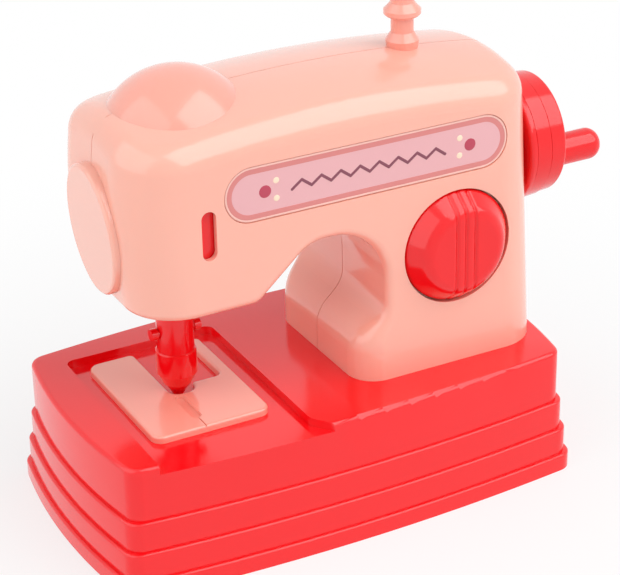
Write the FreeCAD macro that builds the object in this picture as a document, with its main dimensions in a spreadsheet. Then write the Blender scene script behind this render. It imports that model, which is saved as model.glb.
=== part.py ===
"""Hand-cranked toy sewing machine, in millimetres.

+Z is up, +X runs from the needle end to the hand wheel, and -Y is the front.
The origin is the centre of the base's underside, on the surface that it rests on.
"""
import FreeCAD, Part
import math
import os
import Sketcher

SIZES = {
    # stepped base box
    "base_half_length": 79.8,
    "base_half_depth": 43.1,
    "base_end_bow": 4.6,
    "base_side_bow": 4.8,
    "tier_step": 1.2,
    "base_top": 45.0,
    "second_tier_top": 26.0,
    "third_tier_top": 15.5,
    "bottom_tier_top": 6.0,
    "base_wall": 2.2,
    "base_corner_radius": 6.0,
    "base_rim_radius": 1.5,
    "tier_rim_radius": 0.8,
    # sunk bed for the needle plate
    "bed_floor": 42.0,
    "bed_left": 70.4,
    "bed_right": 15.7,
    "bed_rear": 34.2,
    "bed_corner_radius": 3.0,
    "bed_flare": 7.0,
    # bottom cover and its screws
    "cover_thickness": 3.0,
    "cover_head_depth": 0.2,
    "cover_screw_end_inset": 7.8,
    "cover_screw_side_inset": 8.6,
    "cover_boss_radius": 3.5,
    # needle plate
    "plate_left": 64.5,
    "plate_right": 22.8,
    "plate_front": 27.6,
    "plate_rear": 29.0,
    "plate_thickness": 2.4,
    "plate_corner_radius": 4.0,
    "plate_rim_radius": 0.9,
    "notch_left": 47.6,
    "notch_right": 27.2,
    "notch_rear": 1.2,
    "notch_corner_radius": 2.5,
    "needle_room_right": 38.4,
    "needle_room_front": 4.1,
    "needle_room_radius": 3.6,
    "needle_room_corner_radius": 1.4,
    "groove_width": 3.6,
    "groove_start": 5.2,
    "groove_end": 21.5,
    "groove_depth": 1.2,
    "split_width": 0.5,
    "peg_radius": 2.0,
    "peg_length": 4.0,
    "peg_front": 18.0,
    # machine body, two half shells
    "body_half_depth": 31.2,
    "shell_wall": 2.0,
    "seam_width": 0.3,
    "seam_depth": 0.6,
    "foot_left": 8.8,
    "foot_waist_height": 59.5,
    "foot_waist_radius": 12.0,
    "pillar_right": 80.7,
    "end_reach": 84.0,
    "end_bow_radius": 488.0,
    "end_taper_share": 0.054,
    "end_corner_radius": 16.0,
    "end_rear_corner_radius": 11.0,
    "crown_x": 4.0,
    "crown_height": 149.8,
    "crown_radius": 490.0,
    "crown_barrel_radius": 80.0,
    "head_top_left": 66.7,
    "head_bulge_left": 70.6,
    "head_bulge_height": 114.0,
    "head_bulge_radius": 120.0,
    "head_bottom_left": 66.2,
    "head_bottom": 84.5,
    "arch_start": 27.5,
    "arch_start_radius": 6.0,
    "arch_left": 8.5,
    "arch_top": 101.3,
    "arch_left_radius": 14.0,
    "pillar_left": 19.0,
    "arch_right_radius": 20.0,
    "foot_flare_height": 68.8,
    "foot_flare_radius": 10.0,
    "head_end_radius": 18.0,
    "head_rear_end_radius": 15.0,
    "body_edge_radius": 9.6,
    "body_lower_radius": 3.0,
    "foot_corner_radius": 10.0,
    # openings in the head
    "slot_x": 44.0,
    "slot_width": 5.0,
    "slot_low": 104.0,
    "slot_high": 120.5,
    "head_opening_radius": 8.5,
    # screws and their bosses
    "boss_radius": 5.0,
    "pillar_boss_radius": 4.0,
    "screw_radius": 1.25,
    "screw_clearance": 0.05,
    "screw_hole_radius": 1.6,
    "screw_head_radius": 3.0,
    "screw_head_thickness": 1.5,
    "screw_head_room": 0.5,
    "screw_slot_width": 0.8,
    "screw_slot_depth": 0.6,
    "shell_screw_head_depth": 12.0,
    "shell_screw_reach": 12.0,
    "pillar_screw_reach": 10.0,
    "pillar_boss_height": 15.0,
    "pillar_boss_inset": 5.6,
    "pillar_boss_left": 24.0,
    "pillar_boss_end_inset": 15.8,
    # places of the screws that join the two shells
    "screw_head_x": -61.0,
    "screw_head_low_z": 97.0,
    "screw_head_high_z": 133.6,
    "screw_arm_x": -5.0,
    "screw_arm_z": 127.0,
    "screw_shoulder_x": 57.0,
    "screw_shoulder_z": 125.0,
    "screw_pillar_left_x": 36.0,
    "screw_pillar_right_x": 56.0,
    "screw_pillar_z": 56.0,
    # dome on the head and oval cap on its end
    "dome_x": 40.8,
    "dome_radius": 22.6,
    "dome_height": 13.0,
    "dome_seat_height": 143.6,
    "dome_lean": 1.4,
    "dome_wall": 2.0,
    "stem_radius": 4.0,
    "stem_length": 7.0,
    "end_cap_z": 108.3,
    "end_cap_half_height": 22.0,
    "end_cap_half_width": 18.2,
    "end_cap_face": 71.0,
    "end_cap_thickness": 9.0,
    "end_cap_rim_radius": 1.2,
    # label on the front
    "label_x": 12.6,
    "label_z": 122.8,
    "label_half_length": 51.2,
    "label_half_height": 9.4,
    "label_recess": 0.8,
    "label_thickness": 0.6,
    "label_gap": 0.3,
    # spool pin
    "spool_x": 42.3,
    "spool_collar_low": 146.4,
    "spool_collar_low_radius": 5.0,
    "spool_collar_radius": 5.6,
    "spool_collar_high": 150.8,
    "spool_neck_radius": 3.8,
    "spool_neck_low": 153.4,
    "spool_flange_low": 159.0,
    "spool_flange_radius": 6.2,
    "spool_flange_high": 161.6,
    "spool_stem_low": 163.4,
    "spool_stem_radius": 4.0,
    "spool_tip_low": 170.8,
    "spool_top": 173.2,
    "spool_edge": 0.6,
    "spool_peg_radius": 3.0,
    "spool_peg_low": 136.0,
    # front dial
    "dial_x": 45.2,
    "dial_z": 87.9,
    "dial_radius": 19.6,
    "dial_gap": 0.5,
    "dial_face_radius": 13.8,
    "dial_proud": 6.0,
    "dial_rim_depth": 2.9,
    "dial_edge": 0.8,
    "dial_well_depth": 3.2,
    "dial_well_wall": 2.2,
    "dial_axle_radius": 4.0,
    "dial_sleeve_radius": 7.5,
    "dial_sleeve_end": 18.0,
    "dial_groove_spacing": 3.5,
    "dial_groove_width": 1.0,
    "dial_groove_depth": 0.8,
    "running_clearance": 0.05,
    "end_clearance": 0.3,
    "click_wheel_radius": 7.4,
    "click_wheel_thickness": 2.0,
    "click_notch_radius": 1.3,
    "click_bump_radius": 1.0,
    "click_spring_thickness": 0.6,
    "click_spring_width": 4.5,
    "click_spring_reach": 17.0,
    "click_tab_size": 8.0,
    "click_screw_reach": 5.0,
    "dial_screw_reach": 8.0,
    "wheel_screw_reach": 6.0,
    # drive
    "shaft_z": 107.8,
    "shaft_radius": 2.5,
    "shaft_right": 90.0,
    "disc_left": 40.0,
    "disc_thickness": 3.0,
    "disc_radius": 9.5,
    "disc_hub_radius": 4.5,
    "crank_radius": 6.0,
    "crank_pin_radius": 1.5,
    "crank_pin_length": 10.5,
    "head_bush_left": 34.0,
    "head_bush_length": 7.0,
    "bush_radius": 4.2,
    "bush_flange_radius": 5.8,
    "bush_flange_thickness": 1.0,
    "rib_thickness": 3.0,
    "head_rib_top": 116.0,
    "wheel_bush_left": 64.5,
    "wheel_rib_low": 97.0,
    "wheel_rib_top": 117.0,
    # hand wheel and its crank knob
    "wheel_left": 79.4,
    "wheel_first_ring_length": 3.0,
    "wheel_ring_length": 6.1,
    "wheel_radius": 22.8,
    "wheel_ring_step": 0.75,
    "wheel_ring_taper": 0.4,
    "wheel_groove_depth": 0.5,
    "wheel_groove_width": 0.4,
    "wheel_edge": 1.2,
    "wheel_hollow_radius": 17.0,
    "wheel_hub_radius": 6.0,
    "wheel_face_thickness": 4.0,
    "wheel_dish_depth": 1.0,
    "wheel_dish_radius": 17.4,
    "wheel_screw_depth": 1.5,
    "knob_offset": 9.9,
    "knob_radius": 5.6,
    "knob_length": 27.6,
    "knob_edge": 4.6,
    "knob_pin_radius": 2.0,
    "knob_pin_length": 16.0,
    "knob_pin_head_radius": 2.4,
    "knob_pin_slit": 1.0,
    "knob_pin_flange_radius": 3.4,
    "knob_pin_head_length": 2.0,
    # needle slide
    "needle_x": 43.8,
    "yoke_left": 46.0,
    "yoke_thickness": 4.0,
    "yoke_half_height": 6.0,
    "window_half_width": 8.2,
    "pin_play": 0.35,
    "stroke_share": 0.2106,
    "guide_y": 16.0,
    "rod_radius": 1.5,
    "rod_low": 85.0,
    "rod_high": 137.0,
    "rod_boss_radius": 3.4,
    "rod_boss_height": 3.5,
    "rod_boss_low": 134.5,
    "ear_radius": 3.4,
    "front_plate_width": 8.0,
    "front_plate_thickness": 2.0,
    "front_plate_low": 91.0,
    "front_plate_high": 121.6,
    "front_plate_gap": 0.4,
    "slide_stem_half_width": 3.2,
    "slide_stem_low": 74.0,
    "slide_pin_radius": 3.0,
    "slide_pin_low": 60.0,
    "block_tip": 42.7,
    "block_tip_radius": 2.0,
    "block_low_radius": 3.0,
    "block_low": 44.6,
    "block_mid_radius": 4.9,
    "block_mid": 47.0,
    "block_radius": 6.8,
    "block_high": 51.0,
    "block_shoulder": 59.5,
    "block_shoulder_edge": 0.4,
    "block_neck_radius": 6.2,
    "block_top": 73.0,
    "clamp_z": 66.2,
    "clamp_radius": 1.5,
    "clamp_half_length": 8.8,
    "clamp_head_radius": 2.0,
    "clamp_head_length": 2.2,
    # shared
    "overrun": 2.0,
}

CLICK_NOTCHES = 12

# Degrees about +Y that stand the end cap's outline up and lean its face with the head
CAP_TURN = -94


class Length:
    """A size: its number in millimetres and the sheet expression that gives it."""

    def __init__(self, number, words):
        self.number = float(number)
        self.words = words

    def joined(self, other, sign, result):
        return Length(result, f"({self.words} {sign} {as_length(other).words})")

    def __add__(self, other):
        return self.joined(other, "+", self.number + number_of(other))

    def __radd__(self, other):
        return as_length(other) + self

    def __sub__(self, other):
        return self.joined(other, "-", self.number - number_of(other))

    def __rsub__(self, other):
        return as_length(other) - self

    def __mul__(self, other):
        return self.joined(other, "*", self.number * number_of(other))

    def __rmul__(self, other):
        return as_length(other) * self

    def __truediv__(self, other):
        return self.joined(other, "/", self.number / number_of(other))

    def __neg__(self):
        return Length(-self.number, f"(-{self.words})")

    def __float__(self):
        return self.number


def as_length(value):
    """Return value as a Length; a plain number gets itself as its expression."""
    if isinstance(value, Length):
        return value
    return Length(value, repr(float(value)))


def number_of(value):
    """Return the plain number of a Length or a number."""
    return float(value)


doc = FreeCAD.newDocument("toy_sewing_machine")
sheet = doc.addObject("Spreadsheet::Sheet", "sizes")
for row, (alias, amount) in enumerate(SIZES.items(), start=1):
    sheet.set(f"A{row}", alias)
    sheet.set(f"B{row}", str(amount))
    sheet.setAlias(f"B{row}", alias)
doc.recompute()


class Sheet:
    """Gives each size of the sheet as a Length by its alias."""

    def __getattr__(self, alias):
        return Length(sheet.get(alias), f"sizes.{alias}")


v = Sheet()

SCREW_PLACES = {
    "head_low": (v.screw_head_x, v.screw_head_low_z),
    "head_high": (v.screw_head_x, v.screw_head_high_z),
    "arm": (v.screw_arm_x, v.screw_arm_z),
    "shoulder": (v.screw_shoulder_x, v.screw_shoulder_z),
    "pillar_left": (v.screw_pillar_left_x, v.screw_pillar_z),
    "pillar_right": (v.screw_pillar_right_x, v.screw_pillar_z),
}

TURNS = {
    "+Z": FreeCAD.Rotation(),
    "-Z": FreeCAD.Rotation(FreeCAD.Vector(1, 0, 0), 180),
    "+X": FreeCAD.Rotation(FreeCAD.Vector(0, 1, 0), 90),
    "-X": FreeCAD.Rotation(FreeCAD.Vector(0, 1, 0), -90),
    "+Y": FreeCAD.Rotation(FreeCAD.Vector(1, 0, 0), -90),
    "-Y": FreeCAD.Rotation(FreeCAD.Vector(1, 0, 0), 90),
}

# A turned body's axis is its own X axis.
TURNED = {
    "+X": FreeCAD.Rotation(),
    "-X": FreeCAD.Rotation(FreeCAD.Vector(0, 0, 1), 180),
    "+Z": FreeCAD.Rotation(FreeCAD.Vector(0, 1, 0), -90),
    "-Z": FreeCAD.Rotation(FreeCAD.Vector(0, 1, 0), 90),
    "+Y": FreeCAD.Rotation(FreeCAD.Vector(0, 0, 1), 90),
    "-Y": FreeCAD.Rotation(FreeCAD.Vector(0, 0, 1), -90),
}


def bind(obj, prop, value):
    """Bind a property to the expression of a Length."""
    obj.setExpression(prop, as_length(value).words)


def place(obj, x, y, z, turn):
    """Put an object at a point bound to the sheet, turned by a rotation."""
    point = FreeCAD.Vector(number_of(x), number_of(y), number_of(z))
    obj.Placement = FreeCAD.Placement(point, turn)
    bind(obj, "Placement.Base.x", x)
    bind(obj, "Placement.Base.y", y)
    bind(obj, "Placement.Base.z", z)


def cylinder(name, radius, height, x, y, z, axis="+Z"):
    """A cylinder that starts at a point and runs along an axis."""
    obj = doc.addObject("Part::Cylinder", name)
    bind(obj, "Radius", radius)
    bind(obj, "Height", height)
    place(obj, x, y, z, TURNS[axis])
    return obj


def box(name, x_low, x_high, y_low, y_high, z_low, z_high):
    """A box between two corners."""
    obj = doc.addObject("Part::Box", name)
    bind(obj, "Length", x_high - x_low)
    bind(obj, "Width", y_high - y_low)
    bind(obj, "Height", z_high - z_low)
    place(obj, x_low, y_low, z_low, TURNS["+Z"])
    return obj


def fuse(name, parts):
    """Join solids into one."""
    obj = doc.addObject("Part::MultiFuse", name)
    obj.Shapes = parts
    obj.Refine = True
    return obj


def cut(name, base, tools):
    """Cut one or more tools from a base."""
    obj = doc.addObject("Part::Cut", name)
    obj.Base = base
    obj.Tool = tools[0] if len(tools) == 1 else fuse(name + "_tools", tools)
    obj.Refine = True
    return obj


def common(name, base, tool):
    """Keep what two solids share."""
    obj = doc.addObject("Part::Common", name)
    obj.Base = base
    obj.Tool = tool
    obj.Refine = True
    return obj


def compound(name, parts):
    """Hold several separate solids in one object."""
    obj = doc.addObject("Part::Compound", name)
    obj.Links = parts
    return obj


def round_edges(name, base, radius, wanted):
    """Round the edges of a base for which wanted(edge) is true."""
    doc.recompute()
    size = number_of(radius)
    picked = [i for i, edge in enumerate(base.Shape.Edges, start=1) if wanted(edge)]
    if not picked:
        raise ValueError(f"{name}: no edge to round")
    obj = doc.addObject("Part::Fillet", name)
    obj.Base = base
    obj.Edges = [(i, size, size) for i in picked]
    doc.recompute()
    return obj


def round_each(name, base, radii):
    """Round every edge of a base for which radii(edge) gives the radius at its two ends."""
    doc.recompute()
    picked = []
    for i, edge in enumerate(base.Shape.Edges, start=1):
        ends = radii(edge)
        if ends is not None:
            picked.append((i, number_of(ends[0]), number_of(ends[1])))
    obj = doc.addObject("Part::Fillet", name)
    obj.Base = base
    obj.Edges = picked
    doc.recompute()
    return obj


def near(number, value):
    """Tell whether a number is at a size, within a hair."""
    return abs(number - number_of(value)) < HAIR


HAIR = 1e-4


def spans(edge):
    """Return the low and high corners of an edge's box."""
    bounds = edge.BoundBox
    return (bounds.XMin, bounds.YMin, bounds.ZMin), (bounds.XMax, bounds.YMax, bounds.ZMax)


def new_sketch(body, name, plane):
    """Add a sketch on one of a body's own origin planes."""
    sketch = body.newObject("Sketcher::SketchObject", name)
    origin_plane = [f for f in body.Origin.OriginFeatures if f.Role == plane][0]
    sketch.AttachmentSupport = (origin_plane, [""])
    sketch.MapMode = "FlatFace"
    return sketch


def pin_point(sketch, geometry, position, x, y):
    """Bind a sketch point to a place by constraints with expressions."""
    for kind, axis_line, value in (("DistanceX", -2, x), ("DistanceY", -1, y)):
        if number_of(value) == 0:
            sketch.addConstraint(Sketcher.Constraint("PointOnObject", geometry, position, axis_line))
        else:
            place_number = number_of(value)
            index = sketch.addConstraint(
                Sketcher.Constraint(kind, -1, 1, geometry, position, place_number)
            )
            sketch.setExpression(f"Constraints[{index}]", as_length(value).words)


def rounded_outline(sketch, corners):
    """Draw a closed outline of straight runs whose corners (x, y, radius) are rounded.

    A corner with no radius stays sharp. Each virtual corner is bound to the sheet, each
    run lies on the line between two of them, and each arc is tangent to its two runs.
    """
    count = len(corners)
    points = [FreeCAD.Vector(number_of(x), number_of(y), 0) for x, y, _ in corners]
    starts, ends = [], []
    for i, (_, _, radius) in enumerate(corners):
        back = (points[i - 1] - points[i]).normalize()
        ahead = (points[(i + 1) % count] - points[i]).normalize()
        reach = 0
        if radius is not None:
            reach = number_of(radius) / math.tan(back.getAngle(ahead) / 2)
        ends.append(points[i] + back * reach)
        starts.append(points[i] + ahead * reach)
    runs = [sketch.addGeometry(Part.LineSegment(starts[i], ends[(i + 1) % count]), False)
            for i in range(count)]
    for i, (x, y, radius) in enumerate(corners):
        before = runs[i - 1]
        after = runs[i]
        if radius is None:
            sketch.addConstraint(Sketcher.Constraint("Coincident", before, 2, after, 1))
            pin_point(sketch, after, 1, x, y)
            continue
        back = (points[i - 1] - points[i]).normalize()
        ahead = (points[(i + 1) % count] - points[i]).normalize()
        middle = (back + ahead).normalize()
        slope = math.sin(back.getAngle(ahead) / 2)
        centre_distance = number_of(radius) / slope
        summit = points[i] + middle * (centre_distance - number_of(radius))
        arc = sketch.addGeometry(Part.Arc(ends[i], summit, starts[i]), False)
        # An arc of a sketch always runs anticlockwise, so its ends may be swapped.
        first = 1 if sketch.getPoint(arc, 1).distanceToPoint(ends[i]) < HAIR else 2
        sketch.addConstraint(Sketcher.Constraint("Tangent", before, 2, arc, first))
        sketch.addConstraint(Sketcher.Constraint("Tangent", after, 1, arc, 3 - first))
        index = sketch.addConstraint(Sketcher.Constraint("Radius", arc, number_of(radius)))
        sketch.setExpression(f"Constraints[{index}]", as_length(radius).words)
        corner = sketch.addGeometry(Part.Point(points[i]), True)
        pin_point(sketch, corner, 1, x, y)
        sketch.addConstraint(Sketcher.Constraint("PointOnObject", corner, 1, before))
        sketch.addConstraint(Sketcher.Constraint("PointOnObject", corner, 1, after))


def polygon(sketch, corners):
    """Draw a closed outline of straight runs with sharp corners (x, y)."""
    rounded_outline(sketch, [(x, y, None) for x, y in corners])


def bowed_outline(sketch, half_length, half_depth, end_bow, side_bow):
    """Draw a rectangle whose four sides are arcs that bow outwards."""
    corners = [
        (-half_length, -half_depth),
        (half_length, -half_depth),
        (half_length, half_depth),
        (-half_length, half_depth),
    ]
    middles = [
        (0, -half_depth - side_bow),
        (half_length + end_bow, 0),
        (0, half_depth + side_bow),
        (-half_length - end_bow, 0),
    ]
    arcs = []
    for i, (x, y) in enumerate(middles):
        start, end = corners[i], corners[(i + 1) % len(corners)]
        points = [FreeCAD.Vector(number_of(a), number_of(b), 0) for a, b in (start, (x, y), end)]
        arc = sketch.addGeometry(Part.Arc(*points), False)
        arcs.append(arc)
        crest = sketch.addGeometry(Part.Point(points[1]), True)
        pin_point(sketch, crest, 1, x, y)
        sketch.addConstraint(Sketcher.Constraint("PointOnObject", crest, 1, arc))
        pin_point(sketch, arc, 1, *start)
    for i, arc in enumerate(arcs):
        sketch.addConstraint(Sketcher.Constraint("Coincident", arcs[i - 1], 2, arc, 1))


def pad(body, sketch, name, length):
    """Pad a sketch of a body along its normal."""
    feature = body.newObject("PartDesign::Pad", name)
    feature.Profile = sketch
    bind(feature, "Length", length)
    sketch.Visibility = False
    return feature


def padded(name, plane, draw, length, x, y, z):
    """A body padded from an outline that draw(sketch) makes on one of its planes."""
    body = doc.addObject("PartDesign::Body", name)
    sketch = new_sketch(body, name + "_outline", plane)
    draw(sketch)
    pad(body, sketch, name + "_pad", length)
    place(body, x, y, z, TURNS["+Z"])
    doc.recompute()
    return body


def turned(name, profile, x, y, z, axis):
    """A body turned from a profile of (distance along the axis, radius) corners."""
    body = doc.addObject("PartDesign::Body", name)
    sketch = new_sketch(body, name + "_profile", "XY_Plane")
    polygon(sketch, profile)
    feature = body.newObject("PartDesign::Revolution", name + "_turn")
    feature.Profile = sketch
    feature.ReferenceAxis = (sketch, ["H_Axis"])
    feature.Angle = 360
    sketch.Visibility = False
    place(body, x, y, z, TURNED[axis])
    doc.recompute()
    return body


def screw(name, reach, x, y, z, axis):
    """A pan-head screw with a cross slot; the point is under the head, axis leads to the tip."""
    back = {"+": "-", "-": "+"}[axis[0]] + axis[1]
    head = cylinder(name + "_head", v.screw_head_radius, v.screw_head_thickness, x, y, z, back)
    shank = cylinder(name + "_shank", v.screw_radius, reach, x, y, z, axis)
    whole = fuse(name + "_blank", [head, shank])
    half_long = v.screw_head_radius / 2
    half_wide = v.screw_slot_width / 2
    outside = {"+Y": -1, "-Y": 1, "+Z": -1, "-Z": 1, "+X": -1, "-X": 1}[axis]
    low = v.screw_head_thickness - v.screw_slot_depth
    high = v.screw_head_thickness + v.overrun
    near_end, far_end = (low, high) if outside > 0 else (-high, -low)
    slots = []
    for number, (wide, deep) in enumerate(((half_long, half_wide), (half_wide, half_long))):
        spans_by_axis = {
            "X": (x + near_end, x + far_end, y - wide, y + wide, z - deep, z + deep),
            "Y": (x - wide, x + wide, y + near_end, y + far_end, z - deep, z + deep),
            "Z": (x - wide, x + wide, y - deep, y + deep, z + near_end, z + far_end),
        }
        slots.append(box(f"{name}_slot_{number}", *spans_by_axis[axis[1]]))
    return cut(name, whole, slots)


def stadium(name, x, z, half_length, half_height, y_low, thickness):
    """A flat plate with round ends, standing in the XZ plane."""
    straight = half_length - half_height
    middle = box(name + "_middle", x - straight, x + straight, y_low, y_low + thickness,
                 z - half_height, z + half_height)
    left = cylinder(name + "_left", half_height, thickness, x - straight, y_low, z, "+Y")
    right = cylinder(name + "_right", half_height, thickness, x + straight, y_low, z, "+Y")
    return fuse(name, [middle, left, right])


nodes = {}


def keep(name, obj):
    """Name a finished piece."""
    obj.Label = name
    nodes[name] = obj
    return obj


# Base box: four bowed tiers, each lower one a step wider
TIER_TOPS = (v.bottom_tier_top, v.third_tier_top, v.second_tier_top, v.base_top)
base_blank = doc.addObject("PartDesign::Body", "base_blank")
for level, top in enumerate(TIER_TOPS):
    step = v.tier_step * (len(TIER_TOPS) - 1 - level)
    tier_sketch = new_sketch(base_blank, f"tier_{level}_outline", "XY_Plane")
    bowed_outline(tier_sketch, v.base_half_length + step, v.base_half_depth + step,
                  v.base_end_bow, v.base_side_bow)
    pad(base_blank, tier_sketch, f"tier_{level}_pad", top)
    doc.recompute()
place(base_blank, 0, 0, 0, TURNS["+Z"])


def is_upright(edge):
    """Tell whether an edge stands straight up."""
    low, high = spans(edge)
    return high[2] - low[2] > HAIR and high[0] - low[0] < HAIR and high[1] - low[1] < HAIR


base_cornered = round_edges("base_cornered", base_blank, v.base_corner_radius, is_upright)


def is_tier_rim(edge):
    """Tell whether an edge is the front outer edge of a lower tier's ledge."""
    low, high = spans(edge)
    for level, top in enumerate(TIER_TOPS[:-1]):
        step = v.tier_step * (len(TIER_TOPS) - 1 - level)
        crest = number_of(-v.base_half_depth - step - v.base_side_bow)
        if near(low[2], top) and near(high[2], top) and abs(low[1] - crest) < number_of(v.tier_step) / 2:
            return True
    return False


base_ledged = round_edges("base_ledged", base_cornered, v.tier_rim_radius, is_tier_rim)


def is_top_rim(edge):
    """Tell whether an edge is the front edge of the base's top."""
    low, high = spans(edge)
    return near(low[2], v.base_top) and near(high[2], v.base_top) and low[1] < 0 and high[1] < 0


def draw_bed(sketch):
    """Draw the bed's outline, open past the front and flared at its right."""
    front = -v.base_half_depth - v.base_side_bow - v.overrun
    mouth = -v.base_half_depth - v.base_side_bow + v.bed_flare
    rounded_outline(sketch, [
        (-v.bed_left, front, None),
        (-v.bed_right + v.bed_flare, front, None),
        (-v.bed_right, mouth, v.bed_flare),
        (-v.bed_right, v.bed_rear, v.bed_corner_radius),
        (-v.bed_left, v.bed_rear, v.bed_corner_radius),
    ])


base_rimmed = round_edges("base_rimmed", base_ledged, v.base_rim_radius, is_top_rim)
bed = padded("bed", "XY_Plane", draw_bed, v.base_top - v.bed_floor + v.overrun, 0, 0, v.bed_floor)


def base_cavity(name, step, low, high):
    """A cavity inside the base that leaves the wall of a tier."""
    def draw(sketch):
        bowed_outline(sketch, v.base_half_length + step - v.base_wall,
                      v.base_half_depth + step - v.base_wall, v.base_end_bow, v.base_side_bow)
    blank = padded(name + "_blank", "XY_Plane", draw, high - low, 0, 0, low)
    return round_edges(name, blank, v.base_corner_radius - v.base_wall, is_upright)


base_ceiling = v.bed_floor - v.base_wall
cover_top = v.cover_thickness
upper_cavity = base_cavity("upper_cavity", 0, cover_top, base_ceiling)
lower_cavity = base_cavity("lower_cavity", v.tier_step * 2, cover_top, v.third_tier_top - v.base_wall)
cover_room = base_cavity("cover_room", v.tier_step * 3, -v.overrun, cover_top)
cover_screw_x = v.base_half_length - v.cover_screw_end_inset
cover_screw_y = v.base_half_depth - v.cover_screw_side_inset
cover_screw_points = [(sx * cover_screw_x, sy * cover_screw_y) for sx in (-1, 1) for sy in (-1, 1)]
cover_bosses = [
    cylinder(f"cover_boss_{i}", v.cover_boss_radius, base_ceiling - cover_top + v.overrun, x, y, cover_top)
    for i, (x, y) in enumerate(cover_screw_points)
]
cavity = cut("base_cavity", fuse("base_cavity_blank", [upper_cavity, lower_cavity]), cover_bosses)
pillar_screw_points = [
    (x, side * (v.body_half_depth - v.pillar_boss_inset))
    for x in (v.pillar_boss_left, v.base_half_length - v.pillar_boss_end_inset) for side in (-1, 1)
]
peg_points = [
    (-v.plate_left + v.peg_front / 2, -v.peg_front),
    (-v.plate_right - v.peg_front / 2, -v.peg_front),
]
base_holes = [
    cylinder(f"cover_pilot_{i}", v.screw_radius + v.screw_clearance, v.shell_screw_reach,
             x, y, cover_top - v.overrun)
    for i, (x, y) in enumerate(cover_screw_points)
]
base_holes += [
    cylinder(f"pillar_hole_{i}", v.screw_hole_radius, v.base_top - base_ceiling + v.overrun * 2,
             x, y, base_ceiling - v.overrun)
    for i, (x, y) in enumerate(pillar_screw_points)
]
base_holes += [
    cylinder(f"peg_hole_{i}", v.peg_radius + v.running_clearance, v.base_wall + v.overrun * 2,
             x, y, base_ceiling - v.overrun)
    for i, (x, y) in enumerate(peg_points)
]
keep("base_shell", cut("base_shell", base_rimmed, [bed, cavity, cover_room] + base_holes))


# Bottom cover, let into the base's underside
def draw_cover(sketch):
    """Draw the cover's outline, a gap inside the lowest tier's wall."""
    inset = v.base_wall + v.end_clearance - v.tier_step * 3
    bowed_outline(sketch, v.base_half_length - inset, v.base_half_depth - inset,
                  v.base_end_bow, v.base_side_bow)


cover_blank = padded("cover_blank", "XY_Plane", draw_cover, v.cover_thickness, 0, 0, 0)
cover_cornered = round_edges("cover_cornered", cover_blank, v.base_corner_radius - v.base_wall, is_upright)
sunk_head = v.screw_head_thickness + v.cover_head_depth
cover_holes = []
for i, (x, y) in enumerate(cover_screw_points):
    cover_holes.append(cylinder(f"cover_hole_{i}", v.screw_hole_radius, v.cover_thickness + v.overrun * 2,
                                x, y, -v.overrun))
    cover_holes.append(cylinder(f"cover_sink_{i}", v.screw_head_radius + v.screw_head_room,
                                sunk_head + v.overrun, x, y, -v.overrun))
keep("base_bottom_cover", cut("base_bottom_cover", cover_cornered, cover_holes))
keep("bottom_cover_screws", compound("bottom_cover_screws", [
    screw(f"cover_screw_{i}", v.pillar_screw_reach, x, y, sunk_head, "+Z")
    for i, (x, y) in enumerate(cover_screw_points)
]))


# Needle plate on the bed
def draw_plate(sketch):
    """Draw the plate's outline with the notch in its rear edge."""
    rounded_outline(sketch, [
        (-v.plate_left, -v.plate_front, v.plate_corner_radius),
        (-v.plate_right, -v.plate_front, v.plate_corner_radius),
        (-v.plate_right, v.plate_rear, v.plate_rim_radius * 2),
        (-v.notch_right, v.plate_rear, v.plate_rim_radius * 2),
        (-v.notch_right, v.notch_rear, v.notch_corner_radius),
        (-v.needle_room_right, v.notch_rear, v.needle_room_corner_radius),
        (-v.needle_room_right, -v.needle_room_front, v.needle_room_radius),
        (-v.notch_left, -v.needle_room_front, v.needle_room_radius),
        (-v.notch_left, v.plate_rear, v.plate_rim_radius * 2),
        (-v.plate_left, v.plate_rear, v.plate_corner_radius),
    ])


plate_top = v.bed_floor + v.plate_thickness
plate_blank = padded("plate_blank", "XY_Plane", draw_plate, v.plate_thickness, 0, 0, v.bed_floor)


def is_plate_rim(edge):
    """Tell whether an edge lies in the plate's top face."""
    low, high = spans(edge)
    return near(low[2], plate_top) and near(high[2], plate_top)


plate_rimmed = round_edges("plate_rimmed", plate_blank, v.plate_rim_radius, is_plate_rim)
groove_x = -v.notch_left + v.groove_width / 3
groove_floor = plate_top - v.groove_depth
half_groove = v.groove_width / 2
groove_tools = [
    box("groove_run", groove_x - half_groove, groove_x + half_groove, -v.groove_end + half_groove,
        -v.groove_start - half_groove, groove_floor, plate_top + v.overrun),
    cylinder("groove_rear", half_groove, v.groove_depth + v.overrun, groove_x,
             -v.groove_start - half_groove, groove_floor),
    cylinder("groove_front", half_groove, v.groove_depth + v.overrun, groove_x,
             -v.groove_end + half_groove, groove_floor),
    box("split_line", groove_x - v.split_width / 2, groove_x + v.split_width / 2,
        -v.plate_front - v.overrun, -v.groove_end + half_groove, plate_top - v.split_width,
        plate_top + v.overrun),
]
plate_grooved = cut("plate_grooved", plate_rimmed, groove_tools)
pegs = [
    cylinder(f"plate_peg_{i}", v.peg_radius, v.peg_length + v.peg_radius / 2, x, y,
             v.bed_floor - v.peg_length)
    for i, (x, y) in enumerate(peg_points)
]
keep("needle_plate", fuse("needle_plate", [plate_grooved] + pegs))


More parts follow.
